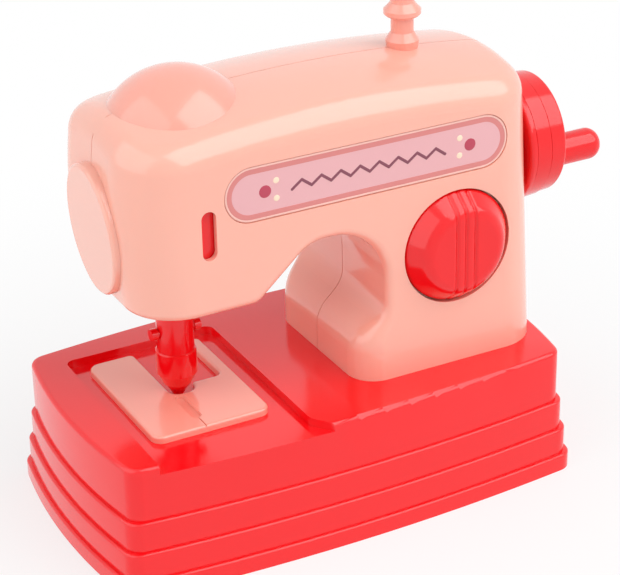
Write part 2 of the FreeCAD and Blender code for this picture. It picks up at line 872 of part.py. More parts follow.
# Machine body: a C-shaped outline, its shell wall and its bosses
def draw_body(sketch):
    """Draw the body's side view: foot, arch, head, crowned top and pillar."""
    rounded_outline(sketch, [
        (v.foot_left, v.base_top, None),
        (v.end_reach, v.base_top, None),
        (v.end_reach, v.crown_height + v.overrun, None),
        (-v.head_top_left, v.crown_height + v.overrun, None),
        (-v.head_bulge_left, v.head_bulge_height, v.head_bulge_radius),
        (-v.head_bottom_left, v.head_bottom, None),
        (-v.arch_start, v.head_bottom, v.arch_start_radius),
        (-v.arch_left, v.arch_top, v.arch_left_radius),
        (v.pillar_left, v.arch_top, v.arch_right_radius),
        (v.pillar_left, v.foot_flare_height, v.foot_flare_radius),
        (v.foot_left, v.foot_waist_height, v.foot_waist_radius),
    ])


END_TURN = FreeCAD.Rotation(FreeCAD.Vector(0, 1, 0), -math.degrees(math.atan(number_of(v.end_taper_share))))


def bowed(name, base, inset):
    """Keep the part of a body blank that lies in the leaning round of the end and under the crown."""
    drop = v.end_bow_radius / 4
    bow = cylinder(name + "_bow", v.end_bow_radius - inset, v.crown_height + drop,
                   v.pillar_right - v.end_bow_radius + drop * v.end_taper_share, 0, v.base_top - drop)
    bow.Placement.Rotation = END_TURN
    crown = doc.addObject("Part::Torus", name + "_crown")
    bind(crown, "Radius1", v.crown_radius - v.crown_barrel_radius)
    bind(crown, "Radius2", v.crown_barrel_radius - inset)
    place(crown, v.crown_x, 0, v.crown_height - v.crown_radius, TURNS["+Y"])
    doc.recompute()
    return common(name, common(name + "_ended", base, bow), crown)


def rounded_body(name, base, half_depth, inset):
    """Round a body blank: both ends' corners, then the upper chain, then the lower chain."""
    def at_face(edge):
        low, high = spans(edge)
        return near(abs(low[1]), half_depth) and near(high[1], low[1])

    def head_end_radii(edge):
        low, high = spans(edge)
        steep = high[2] - low[2] > high[0] - low[0]
        if not (at_face(edge) and steep and high[0] < number_of(-v.arch_start)):
            return None
        radius = (v.head_end_radius if low[1] < 0 else v.head_rear_end_radius) - inset
        return radius, radius

    def is_crown(edge):
        low, high = spans(edge)
        return at_face(edge) and low[0] < number_of(v.crown_x) < high[0] and low[2] > number_of(v.shaft_z)

    def pillar_end_radii(edge):
        low, high = spans(edge)
        steep = high[2] - low[2] > high[0] - low[0]
        if not (at_face(edge) and steep and low[0] > number_of(v.dial_x)):
            return None
        radius = (v.end_corner_radius if low[1] < 0 else v.end_rear_corner_radius) - inset
        return radius, radius

    def lower_radii(edge):
        low, high = spans(edge)
        beyond_head = low[0] > number_of(-v.head_bottom_left) - HAIR
        before_pillar = high[0] < number_of(v.pillar_left) + HAIR
        if not (at_face(edge) and beyond_head and before_pillar and high[2] < number_of(v.arch_top) + HAIR):
            return None
        heights = [vertex.Z for vertex in edge.Vertexes]
        # The front's run of edges is followed the other way round.
        if low[1] < 0:
            heights.reverse()
        return [lower_radius(height) - inset for height in heights]

    def lower_radius(height):
        """The radius at a height: the foot's up to the waist, then easing to the arch's at the flare."""
        rise = number_of(v.foot_flare_height) - number_of(v.foot_waist_height)
        share = min(max((height - number_of(v.foot_waist_height)) / rise, 0), 1)
        return v.foot_corner_radius + (v.body_lower_radius - v.foot_corner_radius) * share

    cornered = round_each(name + "_cornered", base, pillar_end_radii)
    ended = round_each(name + "_ended", cornered, head_end_radii)
    topped = round_edges(name + "_topped", ended, v.body_edge_radius - inset, is_crown)
    return round_each(name, topped, lower_radii)


outer_blank = padded("outer_blank", "XZ_Plane", draw_body, v.body_half_depth * 2, 0, v.body_half_depth, 0)
outer_bowed = bowed("outer_bowed", outer_blank, 0)
body_outer = rounded_body("body_outer", outer_bowed, v.body_half_depth, 0)

inner_half_depth = v.body_half_depth - v.shell_wall
inner_outline = doc.addObject("Part::Offset2D", "inner_outline")
inner_outline.Source = outer_blank.Group[0]
bind(inner_outline, "Value", -v.shell_wall)
inner_outline.Join = "Intersection"
inner_blank = doc.addObject("Part::Extrusion", "inner_blank")
inner_blank.Base = inner_outline
inner_blank.DirMode = "Custom"
inner_blank.Dir = FreeCAD.Vector(0, 1, 0)
bind(inner_blank, "LengthFwd", inner_half_depth * 2)
inner_blank.Solid = True
place(inner_blank, 0, -inner_half_depth, 0, TURNS["+Z"])
inner_bowed = bowed("inner_bowed", inner_blank, v.shell_wall)
body_inner = rounded_body("body_inner", inner_bowed, inner_half_depth, v.shell_wall)


def slab(name, outline, half_depth):
    """Pull an outline of the XZ plane out to a solid, equally to the front and the rear."""
    obj = doc.addObject("Part::Extrusion", name)
    obj.Base = outline
    obj.DirMode = "Custom"
    obj.Dir = FreeCAD.Vector(0, 1, 0)
    bind(obj, "LengthFwd", half_depth * 2)
    obj.Solid = True
    place(obj, 0, -half_depth, 0, TURNS["+Z"])
    return obj


# Bosses, ribs and sockets inside the body
screw_bosses = [
    cylinder(f"screw_boss_{key}", v.boss_radius, inner_half_depth * 2 + v.overrun, x, -inner_half_depth,
             z, "+Y")
    for key, (x, z) in SCREW_PLACES.items()
]
inner_floor = v.base_top + v.shell_wall
pillar_bosses = [
    cylinder(f"pillar_boss_{i}", v.pillar_boss_radius, v.pillar_boss_height + v.shell_wall, x, y, v.base_top)
    for i, (x, y) in enumerate(pillar_screw_points)
]
rod_points = [(-v.needle_x, side * v.guide_y) for side in (-1, 1)]
rod_bosses = []
for i, (x, y) in enumerate(rod_points):
    rod_bosses.append(cylinder(f"rod_boss_low_{i}", v.rod_boss_radius, v.rod_boss_height + v.shell_wall,
                               x, y, v.head_bottom))
    rod_bosses.append(cylinder(f"rod_boss_high_{i}", v.rod_boss_radius, v.crown_height - v.rod_boss_low,
                               x, y, v.rod_boss_low))
head_rib_left = -v.head_bush_left + v.bush_flange_thickness
wheel_rib_left = v.wheel_bush_left + v.bush_flange_thickness
whole_depth = v.body_half_depth + v.overrun
ribs = [
    box("head_rib", head_rib_left, head_rib_left + v.rib_thickness, -whole_depth, whole_depth,
        v.head_bottom, v.head_rib_top),
    box("wheel_rib", wheel_rib_left, wheel_rib_left + v.rib_thickness, -whole_depth, whole_depth,
        v.wheel_rib_low, v.wheel_rib_top),
]
well_floor = v.body_half_depth - v.dial_well_depth
pad_inside = well_floor - v.dial_well_wall
dial_pad = cylinder("dial_pad", v.dial_radius + v.dial_gap + v.dial_well_wall,
                    v.shell_wall + v.dial_well_depth, v.dial_x, -pad_inside, v.dial_z, "-Y")
dial_sleeve = cylinder("dial_sleeve", v.dial_sleeve_radius, v.body_half_depth - v.dial_sleeve_end,
                       v.dial_x, -v.dial_sleeve_end, v.dial_z, "-Y")
leaf_top = v.dial_z - v.click_wheel_radius - v.end_clearance - v.click_bump_radius
leaf_low = leaf_top - v.click_spring_thickness
leaf_front = -v.dial_sleeve_end
leaf_rear = leaf_front + v.click_spring_width
leaf_middle = (leaf_front + leaf_rear) / 2
post_right = v.dial_x + v.click_spring_reach
post_left = post_right - v.click_tab_size
post = box("click_post", post_left, post_right, -v.body_half_depth, leaf_rear,
           leaf_low - v.click_tab_size, leaf_low)
kept_inside = fuse("kept_inside", screw_bosses + pillar_bosses + rod_bosses + ribs
                   + [dial_pad, dial_sleeve, post])
body_cavity = cut("body_cavity", body_inner, [kept_inside])
seam_outline = doc.addObject("Part::Offset2D", "seam_outline")
seam_outline.Source = outer_blank.Group[0]
bind(seam_outline, "Value", -v.seam_depth)
seam_outline.Join = "Intersection"
half_seam = v.seam_width / 2
seam_core = bowed("seam_core", slab("seam_slab", seam_outline, v.seam_width), v.seam_depth)
far_right = v.pillar_right + v.overrun
far_left = -v.head_bulge_left - v.overrun
seam_slice = box("seam_slice", far_left, far_right, -half_seam, half_seam, v.base_top - v.overrun,
                 v.crown_height + v.overrun)
seam_groove = cut("seam_groove", seam_slice, [seam_core])

# Openings that go through both shells
slot_low_end = v.slot_low + v.slot_width / 2
slot_high_end = v.slot_high - v.slot_width / 2
wall_room = v.shell_wall + v.overrun
shared_openings = [
    cylinder("head_opening", v.head_opening_radius, wall_room + v.overrun, -v.needle_x, 0,
             v.head_bottom - v.overrun),
    cylinder("dome_stem_hole", v.stem_radius + v.running_clearance, v.crown_height - v.rod_boss_low,
             -v.dome_x, 0, v.rod_boss_low),
    cylinder("cap_stem_hole", v.stem_radius + v.running_clearance, v.end_cap_thickness, far_left, 0,
             v.end_cap_z, "+X"),
    cylinder("spool_peg_hole", v.spool_peg_radius + v.running_clearance, v.crown_height - v.spool_peg_low,
             v.spool_x, 0, v.spool_peg_low),
    cylinder("head_bush_hole", v.bush_radius + v.running_clearance, v.rib_thickness + v.overrun * 2,
             head_rib_left - v.overrun, 0, v.shaft_z, "+X"),
    cylinder("wheel_bush_hole", v.bush_radius + v.running_clearance, far_right - wheel_rib_left + v.overrun,
             wheel_rib_left - v.overrun, 0, v.shaft_z, "+X"),
]
for i, (x, y) in enumerate(pillar_screw_points):
    shared_openings.append(cylinder(f"pillar_pilot_{i}", v.screw_radius + v.screw_clearance,
                                    v.pillar_screw_reach + v.overrun * 2, x, y, v.base_top - v.overrun))
for i, (x, y) in enumerate(rod_points):
    shared_openings.append(cylinder(f"rod_hole_{i}", v.rod_radius + v.running_clearance,
                                    v.rod_high - v.rod_low + v.overrun, x, y, v.rod_low - v.overrun))
body_whole = cut("body_whole", body_outer, [body_cavity, seam_groove] + shared_openings)

# Front half shell
front_half = box("front_half", far_left, far_right, -whole_depth, 0, v.base_top - v.overrun,
                 v.crown_height + v.overrun)
front_tools = [
    box("slot_middle", -v.slot_x - v.slot_width / 2, -v.slot_x + v.slot_width / 2, -whole_depth,
        -v.body_half_depth + wall_room, slot_low_end, slot_high_end),
    cylinder("slot_low_round", v.slot_width / 2, v.overrun + wall_room, -v.slot_x, -whole_depth,
             slot_low_end, "+Y"),
    cylinder("slot_high_round", v.slot_width / 2, v.overrun + wall_room, -v.slot_x, -whole_depth,
             slot_high_end, "+Y"),
    stadium("label_recess_tool", v.label_x, v.label_z, v.label_half_length, v.label_half_height,
            -whole_depth, v.overrun + v.label_recess),
    cylinder("dial_well", v.dial_radius + v.dial_gap, v.dial_well_depth + v.overrun, v.dial_x, -well_floor,
             v.dial_z, "-Y"),
    cylinder("dial_bore", v.dial_axle_radius + v.running_clearance,
             v.body_half_depth - v.dial_sleeve_end + v.overrun,
             v.dial_x, -v.dial_sleeve_end + v.overrun, v.dial_z, "-Y"),
    cylinder("click_screw_pilot", v.screw_radius + v.screw_clearance, v.click_screw_reach + v.overrun,
             post_right - v.click_tab_size / 2, leaf_middle, leaf_low + v.overrun, "-Z"),
]
pilot_end = v.shell_screw_reach + v.overrun
for key, (x, z) in SCREW_PLACES.items():
    front_tools.append(cylinder(f"front_pilot_{key}", v.screw_radius + v.screw_clearance,
                                pilot_end + v.overrun, x, v.overrun, z, "-Y"))
keep("front_body_shell", cut("front_body_shell", common("front_blank", body_whole, front_half), front_tools))

# Rear half shell
rear_half = box("rear_half", far_left, far_right, 0, whole_depth, v.base_top - v.overrun,
                v.crown_height + v.overrun)
rear_tools = []
for key, (x, z) in SCREW_PLACES.items():
    rear_tools.append(cylinder(f"rear_hole_{key}", v.screw_hole_radius, whole_depth + v.overrun, x,
                               -v.overrun, z, "+Y"))
    rear_tools.append(cylinder(f"rear_sink_{key}", v.screw_head_radius + v.screw_head_room,
                               whole_depth - v.shell_screw_head_depth, x, v.shell_screw_head_depth, z, "+Y"))
keep("rear_body_shell", cut("rear_body_shell", common("rear_blank", body_whole, rear_half), rear_tools))
keep("shell_screws", compound("shell_screws", [
    screw(f"shell_screw_{key}", v.shell_screw_head_depth + v.shell_screw_reach, x,
          v.shell_screw_head_depth, z, "-Y")
    for key, (x, z) in SCREW_PLACES.items()
]))
keep("pillar_screws", compound("pillar_screws", [
    screw(f"pillar_screw_{i}", v.base_top - base_ceiling + v.pillar_screw_reach, x, y, base_ceiling, "+Z")
    for i, (x, y) in enumerate(pillar_screw_points)
]))

# Dome on the head: a hollow cap with a stem that plugs into the crown
dome_sphere_radius = (v.dome_radius * v.dome_radius / v.dome_height + v.dome_height) / 2
dome_centre_z = v.dome_seat_height + v.dome_height - dome_sphere_radius
dome_balls = []
for key, radius in (("outside", dome_sphere_radius), ("inside", dome_sphere_radius - v.dome_wall)):
    ball = doc.addObject("Part::Sphere", "dome_" + key)
    bind(ball, "Radius", radius)
    place(ball, -v.dome_x + v.dome_lean, 0, dome_centre_z, TURNS["+Z"])
    dome_balls.append(ball)
dome_room = cylinder("dome_room", dome_sphere_radius + v.overrun, v.dome_height + v.stem_length,
                     -v.dome_x + v.dome_lean, 0, v.dome_seat_height - v.dome_wall * 2)
dome_cap = common("dome_cap", dome_balls[0], dome_room)
dome_shell = cut("dome_shell", dome_cap, [dome_balls[1], body_outer])
dome_stem_low = v.dome_seat_height - v.stem_length
dome_stem_blank = cylinder("dome_stem_blank", v.stem_radius, v.stem_length + v.dome_height, -v.dome_x, 0,
                           dome_stem_low)
dome_stem = common("dome_stem", dome_stem_blank, dome_balls[0])
keep("head_dome", fuse("head_dome", [dome_shell, dome_stem]))

# Oval cap on the head's end, on a stem
cap_outline = doc.addObject("Part::Ellipse", "cap_outline")
bind(cap_outline, "MajorRadius", v.end_cap_half_height)
bind(cap_outline, "MinorRadius", v.end_cap_half_width)
cap_lean = FreeCAD.Rotation(FreeCAD.Vector(0, 1, 0), CAP_TURN)
place(cap_outline, -v.end_cap_face, 0, v.end_cap_z, cap_lean)
cap_slab = doc.addObject("Part::Extrusion", "cap_slab")
cap_slab.Base = cap_outline
cap_slab.DirMode = "Normal"
cap_slab.Reversed = False
bind(cap_slab, "LengthFwd", v.end_cap_thickness)
cap_slab.Solid = True
doc.recompute()


def is_cap_rim(edge):
    """Tell whether an edge is the outline of the cap's outer face."""
    return edge.isClosed() and edge.BoundBox.Center.x < number_of(-v.end_cap_face) + HAIR * 100


cap_rimmed = round_edges("cap_rimmed", cap_slab, v.end_cap_rim_radius, is_cap_rim)
cap_plate = cut("cap_plate", cap_rimmed, [body_outer])
cap_stem = cylinder("cap_stem", v.stem_radius, v.stem_length, -v.end_cap_face + v.end_cap_rim_radius, 0,
                    v.end_cap_z, "+X")
keep("head_end_cap", fuse("head_end_cap", [cap_plate, cap_stem]))

# Label plaque in its recess
keep("label_plaque", stadium("label_plaque", v.label_x, v.label_z, v.label_half_length - v.label_gap,
                             v.label_half_height - v.label_gap,
                             -v.body_half_depth + v.label_recess - v.label_thickness, v.label_thickness))

# Spool pin, pegged into the crown
peg_low = v.spool_peg_low
spool_blank = turned("spool_blank", [
    (v.spool_collar_low - peg_low, 0),
    (v.spool_collar_low - peg_low, v.spool_collar_low_radius),
    (v.spool_collar_high - peg_low, v.spool_collar_radius),
    (v.spool_neck_low - peg_low, v.spool_neck_radius),
    (v.spool_flange_low - peg_low, v.spool_neck_radius),
    (v.spool_flange_low - peg_low, v.spool_flange_radius - v.spool_edge),
    (v.spool_flange_low - peg_low + v.spool_edge, v.spool_flange_radius),
    (v.spool_flange_high - peg_low - v.spool_edge, v.spool_flange_radius),
    (v.spool_flange_high - peg_low, v.spool_flange_radius - v.spool_edge),
    (v.spool_stem_low - peg_low, v.spool_stem_radius),
    (v.spool_tip_low - peg_low, v.spool_stem_radius),
    (v.spool_top - peg_low - v.spool_edge, v.spool_stem_radius - v.spool_edge * 2),
    (v.spool_top - peg_low, v.spool_stem_radius - v.spool_edge * 4),
    (v.spool_top - peg_low, 0),
], v.spool_x, 0, peg_low, "+Z")
spool_top_part = cut("spool_top_part", spool_blank, [body_outer])
spool_peg = cylinder("spool_peg", v.spool_peg_radius, v.spool_collar_high - peg_low, v.spool_x, 0, peg_low)
keep("spool_pin", fuse("spool_pin", [spool_top_part, spool_peg]))

# Bushes of the drive shaft, held in the ribs by two flanges


def bush(name, left, length):
    """A flanged bush for the drive shaft."""
    groove_end = v.bush_flange_thickness + v.rib_thickness
    blank = turned(name + "_blank", [
        (0, 0),
        (0, v.bush_flange_radius),
        (v.bush_flange_thickness, v.bush_flange_radius),
        (v.bush_flange_thickness, v.bush_radius),
        (groove_end, v.bush_radius),
        (groove_end, v.bush_flange_radius),
        (groove_end + v.bush_flange_thickness, v.bush_flange_radius),
        (groove_end + v.bush_flange_thickness, v.bush_radius),
        (length, v.bush_radius),
        (length, 0),
    ], left, 0, v.shaft_z, "+X")
    bore = cylinder(name + "_bore", v.shaft_radius + v.running_clearance, length + v.overrun * 2,
                    left - v.overrun, 0, v.shaft_z, "+X")
    return keep(name, cut(name, blank, [bore]))


bush("head_side_bush", -v.head_bush_left, v.head_bush_length)
bush("wheel_side_bush", v.wheel_bush_left, v.wheel_left - v.end_clearance - v.wheel_bush_left)
keep("guide_rods", compound("guide_rods", [
    cylinder(f"guide_rod_{i}", v.rod_radius, v.rod_high - v.rod_low, x, y, v.rod_low)
    for i, (x, y) in enumerate(rod_points)
]))

# Leaf that clicks in the notches of the dial's click wheel, drawn lifted clear of them
leaf = box("leaf", v.dial_x - v.click_tab_size, post_right, leaf_front, leaf_rear, leaf_low, leaf_top)
bump_blank = cylinder("bump_blank", v.click_bump_radius, v.click_spring_width, v.dial_x, leaf_front,
                      leaf_top, "+Y")
bump_room = box("bump_room", v.dial_x - v.click_tab_size, post_right, leaf_front, leaf_rear,
                leaf_top - v.overrun, leaf_low)
bump = cut("bump", bump_blank, [bump_room])
leaf_hole = cylinder("leaf_hole", v.screw_hole_radius, v.overrun * 2, post_right - v.click_tab_size / 2,
                     leaf_middle, leaf_low - v.overrun)
keep("click_spring", cut("click_spring", fuse("leaf_with_bump", [leaf, bump]), [leaf_hole]))
keep("click_spring_screw", screw("click_spring_screw", v.click_screw_reach + v.click_spring_thickness,
                                 post_right - v.click_tab_size / 2, leaf_middle, leaf_top, "-Z"))

# Front dial with its axle
dial_back = well_floor + v.end_clearance
axle_end = v.dial_sleeve_end - v.end_clearance
dial_rise = v.dial_rim_depth + v.dial_proud
dial_blank = turned("dial_blank", [
    (-(dial_back - axle_end), 0),
    (-(dial_back - axle_end), v.dial_axle_radius),
    (0, v.dial_axle_radius),
    (0, v.dial_radius),
    (v.dial_rim_depth, v.dial_radius),
    (dial_rise - v.dial_edge / 2, v.dial_face_radius + v.dial_edge / 2),
    (dial_rise, v.dial_face_radius - v.dial_edge / 2),
    (dial_rise, 0),
], v.dial_x, -dial_back, v.dial_z, "-Y")
groove_core = turned("groove_core", [
    (0, 0),
    (0, v.dial_radius - v.dial_groove_depth),
    (v.dial_rim_depth, v.dial_radius - v.dial_groove_depth),
    (dial_rise - v.dial_groove_depth, v.dial_face_radius - v.dial_groove_depth / 2),
    (dial_rise - v.dial_groove_depth, 0),
], v.dial_x, -dial_back, v.dial_z, "-Y")
groove_boxes = [
    box(f"dial_groove_{i}", v.dial_x + v.dial_groove_spacing * i - v.dial_groove_width / 2,
        v.dial_x + v.dial_groove_spacing * i + v.dial_groove_width / 2, -dial_back - dial_rise - v.overrun,
        -v.body_half_depth, v.dial_z - v.dial_radius - v.overrun, v.dial_z + v.dial_radius + v.overrun)
    for i in (-1, 0, 1)
]
dial_grooves = cut("dial_grooves", compound("dial_groove_boxes", groove_boxes), [groove_core])
dial_pilot = cylinder("dial_pilot", v.screw_radius + v.screw_clearance, v.dial_screw_reach + v.overrun * 2,
                      v.dial_x, -axle_end + v.overrun, v.dial_z, "-Y")
keep("front_dial", cut("front_dial", dial_blank, [dial_grooves, dial_pilot]))
click_blank = cylinder("click_blank", v.click_wheel_radius, v.click_wheel_thickness, v.dial_x, -axle_end,
                       v.dial_z, "+Y")
click_hole = cylinder("click_hole", v.screw_hole_radius, v.click_wheel_thickness + v.overrun * 2, v.dial_x,
                      -axle_end - v.overrun, v.dial_z, "+Y")
click_notches = []
for i in range(CLICK_NOTCHES):
    angle = 2 * math.pi * (i + 0.5) / CLICK_NOTCHES
    click_notches.append(cylinder(f"click_notch_{i}", v.click_notch_radius,
                                  v.click_wheel_thickness + v.overrun * 2,
                                  v.dial_x + v.click_wheel_radius * math.cos(angle), -axle_end - v.overrun,
                                  v.dial_z + v.click_wheel_radius * math.sin(angle), "+Y"))
keep("dial_click_wheel", cut("dial_click_wheel", click_blank, [click_hole] + click_notches))
keep("dial_screw", screw("dial_screw", v.click_wheel_thickness + v.dial_screw_reach, v.dial_x,
                         -axle_end + v.click_wheel_thickness, v.dial_z, "-Y"))

# Drive shaft with the crank disc and its pin
shaft_blank = cylinder("shaft_blank", v.shaft_radius, v.disc_left + v.shaft_right, -v.disc_left, 0,
                       v.shaft_z, "+X")
shaft_pilot = cylinder("shaft_pilot", v.screw_radius + v.screw_clearance, v.pillar_screw_reach,
                       v.shaft_right + v.overrun, 0, v.shaft_z, "-X")
keep("drive_shaft", cut("drive_shaft", shaft_blank, [shaft_pilot]))
disc_end = -v.head_bush_left - v.end_clearance
disc_blank = turned("disc_blank", [
    (0, 0),
    (0, v.disc_radius),
    (v.disc_thickness, v.disc_radius),
    (v.disc_thickness, v.disc_hub_radius),
    (disc_end + v.disc_left, v.disc_hub_radius),
    (disc_end + v.disc_left, 0),
], -v.disc_left, 0, v.shaft_z, "+X")
disc_tools = [
    cylinder("disc_bore", v.shaft_radius + v.screw_clearance, disc_end + v.disc_left + v.overrun * 2,
             -v.disc_left - v.overrun, 0, v.shaft_z, "+X"),
    cylinder("crank_pin_hole", v.crank_pin_radius + v.screw_clearance, v.disc_thickness + v.overrun * 2,
             -v.disc_left - v.overrun, 0, v.shaft_z - v.crank_radius, "+X"),
]
keep("crank_disc", cut("crank_disc", disc_blank, disc_tools))
keep("crank_pin", cylinder("crank_pin", v.crank_pin_radius, v.crank_pin_length,
                           -v.disc_left + v.disc_thickness, 0, v.shaft_z - v.crank_radius, "-X"))

# Hand wheel: three rings, hollow towards the body, with a hub
wheel_length = v.wheel_first_ring_length + v.wheel_ring_length * 2
hollow_depth = wheel_length - v.wheel_face_thickness
wheel_profile = [
    (0, 0),
    (0, v.wheel_hub_radius),
    (hollow_depth, v.wheel_hub_radius),
    (hollow_depth, v.wheel_hollow_radius - v.wheel_edge),
    (hollow_depth - v.wheel_edge, v.wheel_hollow_radius),
    (0, v.wheel_hollow_radius),
    (0, v.wheel_radius),
]
for ring in (1, 2):
    end = v.wheel_first_ring_length + v.wheel_ring_length * (ring - 1)
    end_radius = v.wheel_radius - v.wheel_ring_step * (ring - 1) - v.wheel_ring_taper
    next_radius = v.wheel_radius - v.wheel_ring_step * ring
    wheel_profile += [
        (end - v.wheel_groove_width, end_radius),
        (end - v.wheel_groove_width, next_radius - v.wheel_groove_depth),
        (end, next_radius - v.wheel_groove_depth),
        (end, next_radius),
    ]
wheel_profile += [
    (wheel_length, v.wheel_radius - v.wheel_ring_step * 2 - v.wheel_ring_taper),
    (wheel_length, v.wheel_dish_radius),
    (wheel_length - v.wheel_dish_depth, v.wheel_dish_radius - v.wheel_dish_depth),
    (wheel_length - v.wheel_dish_depth, 0),
]
wheel_blank = turned("wheel_blank", wheel_profile, v.wheel_left, 0, v.shaft_z, "+X")


def is_wheel_rim(edge):
    """Tell whether an edge is the outer edge of one of the wheel's end faces."""
    bounds = edge.BoundBox
    at_left = near(bounds.XMin, v.wheel_left) and near(bounds.XMax, v.wheel_left)
    right = v.wheel_left + wheel_length
    at_right = near(bounds.XMin, right) and near(bounds.XMax, right)
    wide = bounds.ZLength / 2 > number_of(v.wheel_hollow_radius + v.wheel_edge / 2)
    return wide and (at_left or at_right)


wheel_rounded = round_edges("wheel_rounded", wheel_blank, v.wheel_edge, is_wheel_rim)
wheel_face = v.wheel_left + wheel_length
dish_floor = wheel_face - v.wheel_dish_depth
wheel_screw_seat = dish_floor - v.wheel_screw_depth
knob_z = v.shaft_z - v.knob_offset
wheel_tools = [
    cylinder("wheel_bore", v.shaft_radius + v.screw_clearance,
             v.shaft_right + v.end_clearance - v.wheel_left + v.overrun,
             v.wheel_left - v.overrun, 0, v.shaft_z, "+X"),
    cylinder("wheel_screw_hole", v.screw_hole_radius, wheel_length, v.wheel_left, 0, v.shaft_z, "+X"),
    cylinder("wheel_screw_sink", v.screw_head_radius + v.screw_head_room, v.wheel_screw_depth + v.overrun,
             wheel_screw_seat, 0, v.shaft_z, "+X"),
    cylinder("knob_pin_hole", v.knob_pin_radius + v.screw_clearance, v.wheel_face_thickness + v.overrun * 2,
             wheel_face - v.wheel_face_thickness - v.overrun, 0, knob_z, "+X"),
]
keep("hand_wheel", cut("hand_wheel", wheel_rounded, wheel_tools))
keep("hand_wheel_screw", screw("hand_wheel_screw", wheel_screw_seat - v.shaft_right + v.wheel_screw_reach,
                               wheel_screw_seat, 0, v.shaft_z, "-X"))

# Crank knob on its snap pin
pin_left = wheel_face - v.wheel_face_thickness - v.knob_pin_head_length
knob_left = dish_floor + v.end_clearance
snap_left = knob_left + v.knob_pin_length
snap_right = snap_left + v.knob_pin_head_length
pin_blank = turned("pin_blank", [
    (0, 0),
    (0, v.knob_pin_flange_radius),
    (v.knob_pin_head_length, v.knob_pin_flange_radius),
    (v.knob_pin_head_length, v.knob_pin_radius),
    (snap_left - pin_left, v.knob_pin_radius),
    (snap_left - pin_left, v.knob_pin_head_radius),
    (snap_right - pin_left, v.knob_pin_radius - v.knob_pin_slit / 2),
    (snap_right - pin_left, 0),
], pin_left, 0, knob_z, "+X")
slit = box("knob_pin_slit_tool", snap_left - v.knob_pin_length / 2, snap_right + v.overrun, -v.knob_radius,
           v.knob_radius, knob_z - v.knob_pin_slit / 2, knob_z + v.knob_pin_slit / 2)
keep("knob_pin", cut("knob_pin", pin_blank, [slit]))
knob_blank = turned("knob_blank", [
    (0, 0),
    (0, v.knob_radius),
    (v.knob_length, v.knob_radius),
    (v.knob_length, 0),
], knob_left, 0, knob_z, "+X")


def is_knob_end(edge):
    """Tell whether an edge is the knob's outer end."""
    right_end = knob_left + v.knob_length
    return near(edge.BoundBox.XMin, right_end) and near(edge.BoundBox.XMax, right_end)


knob_rounded = round_edges("knob_rounded", knob_blank, v.knob_edge, is_knob_end)
knob_tools = [
    cylinder("knob_bore", v.knob_pin_radius + v.running_clearance, v.knob_pin_length + v.overrun,
             knob_left - v.overrun, 0, knob_z, "+X"),
    cylinder("knob_snap_room", v.knob_pin_head_radius + v.running_clearance * 2,
             v.knob_pin_head_length + v.end_clearance * 2, snap_left - v.end_clearance, 0, knob_z, "+X"),
]
keep("crank_knob", cut("crank_knob", knob_rounded, knob_tools))

# Needle carriage: yoke on the two rods, plate behind the slot, and a stem for the block
yoke_z = v.shaft_z - v.crank_radius
yoke_low = yoke_z - v.yoke_half_height
yoke_high = yoke_z + v.yoke_half_height
yoke_right = -v.yoke_left + v.yoke_thickness
plate_front_y = -inner_half_depth + v.front_plate_gap
carriage_parts = [
    box("yoke", -v.yoke_left, yoke_right, -v.guide_y, v.guide_y, yoke_low, yoke_high),
    box("carriage_arm", -v.yoke_left, yoke_right, plate_front_y, -v.guide_y, yoke_low, yoke_high),
    box("front_plate", -v.slot_x - v.front_plate_width / 2, -v.slot_x + v.front_plate_width / 2,
        plate_front_y, plate_front_y + v.front_plate_thickness, v.front_plate_low, v.front_plate_high),
    box("slide_stem", -v.needle_x - v.slide_stem_half_width, -v.needle_x + v.slide_stem_half_width,
        -v.slide_stem_half_width, v.slide_stem_half_width, v.slide_stem_low, yoke_low),
    cylinder("slide_pin", v.slide_pin_radius, v.slide_stem_low - v.slide_pin_low + v.overrun, -v.needle_x, 0,
             v.slide_pin_low),
]
carriage_parts += [
    cylinder(f"carriage_ear_{i}", v.ear_radius, v.yoke_half_height * 2, x, y, yoke_low)
    for i, (x, y) in enumerate(rod_points)
]
window_half_height = v.crank_pin_radius + v.crank_radius * v.stroke_share + v.pin_play
carriage_tools = [
    box("yoke_window", -v.yoke_left - v.overrun, yoke_right + v.overrun, -v.window_half_width,
        v.window_half_width, yoke_z - window_half_height, yoke_z + window_half_height),
    cylinder("carriage_clamp_hole", v.clamp_radius + v.screw_clearance, v.clamp_half_length * 2,
             -v.needle_x - v.clamp_half_length, 0, v.clamp_z, "+X"),
]
carriage_tools += [
    cylinder(f"ear_bore_{i}", v.rod_radius + v.running_clearance, v.yoke_half_height * 2 + v.overrun * 2,
             x, y, yoke_low - v.overrun)
    for i, (x, y) in enumerate(rod_points)
]
keep("needle_carriage", cut("needle_carriage", fuse("carriage_blank", carriage_parts), carriage_tools))

# Needle block and the pin that clamps it to the carriage
block_blank = turned("block_blank", [
    (0, 0),
    (0, v.block_tip_radius),
    (v.block_low - v.block_tip, v.block_low_radius),
    (v.block_mid - v.block_tip, v.block_mid_radius),
    (v.block_high - v.block_tip, v.block_radius),
    (v.block_shoulder - v.block_shoulder_edge - v.block_tip, v.block_radius),
    (v.block_shoulder - v.block_tip, v.block_radius - v.block_shoulder_edge),
    (v.block_shoulder - v.block_tip, v.block_neck_radius),
    (v.block_top - v.block_tip, v.block_neck_radius),
    (v.block_top - v.block_tip, 0),
], -v.needle_x, 0, v.block_tip, "+Z")
block_tools = [
    cylinder("block_bore", v.slide_pin_radius + v.screw_clearance, v.block_top - v.slide_pin_low + v.overrun,
             -v.needle_x, 0, v.slide_pin_low),
    cylinder("block_clamp_hole", v.clamp_radius + v.screw_clearance, v.clamp_half_length * 2,
             -v.needle_x - v.clamp_half_length, 0, v.clamp_z, "+X"),
]
keep("needle_block", cut("needle_block", block_blank, block_tools))
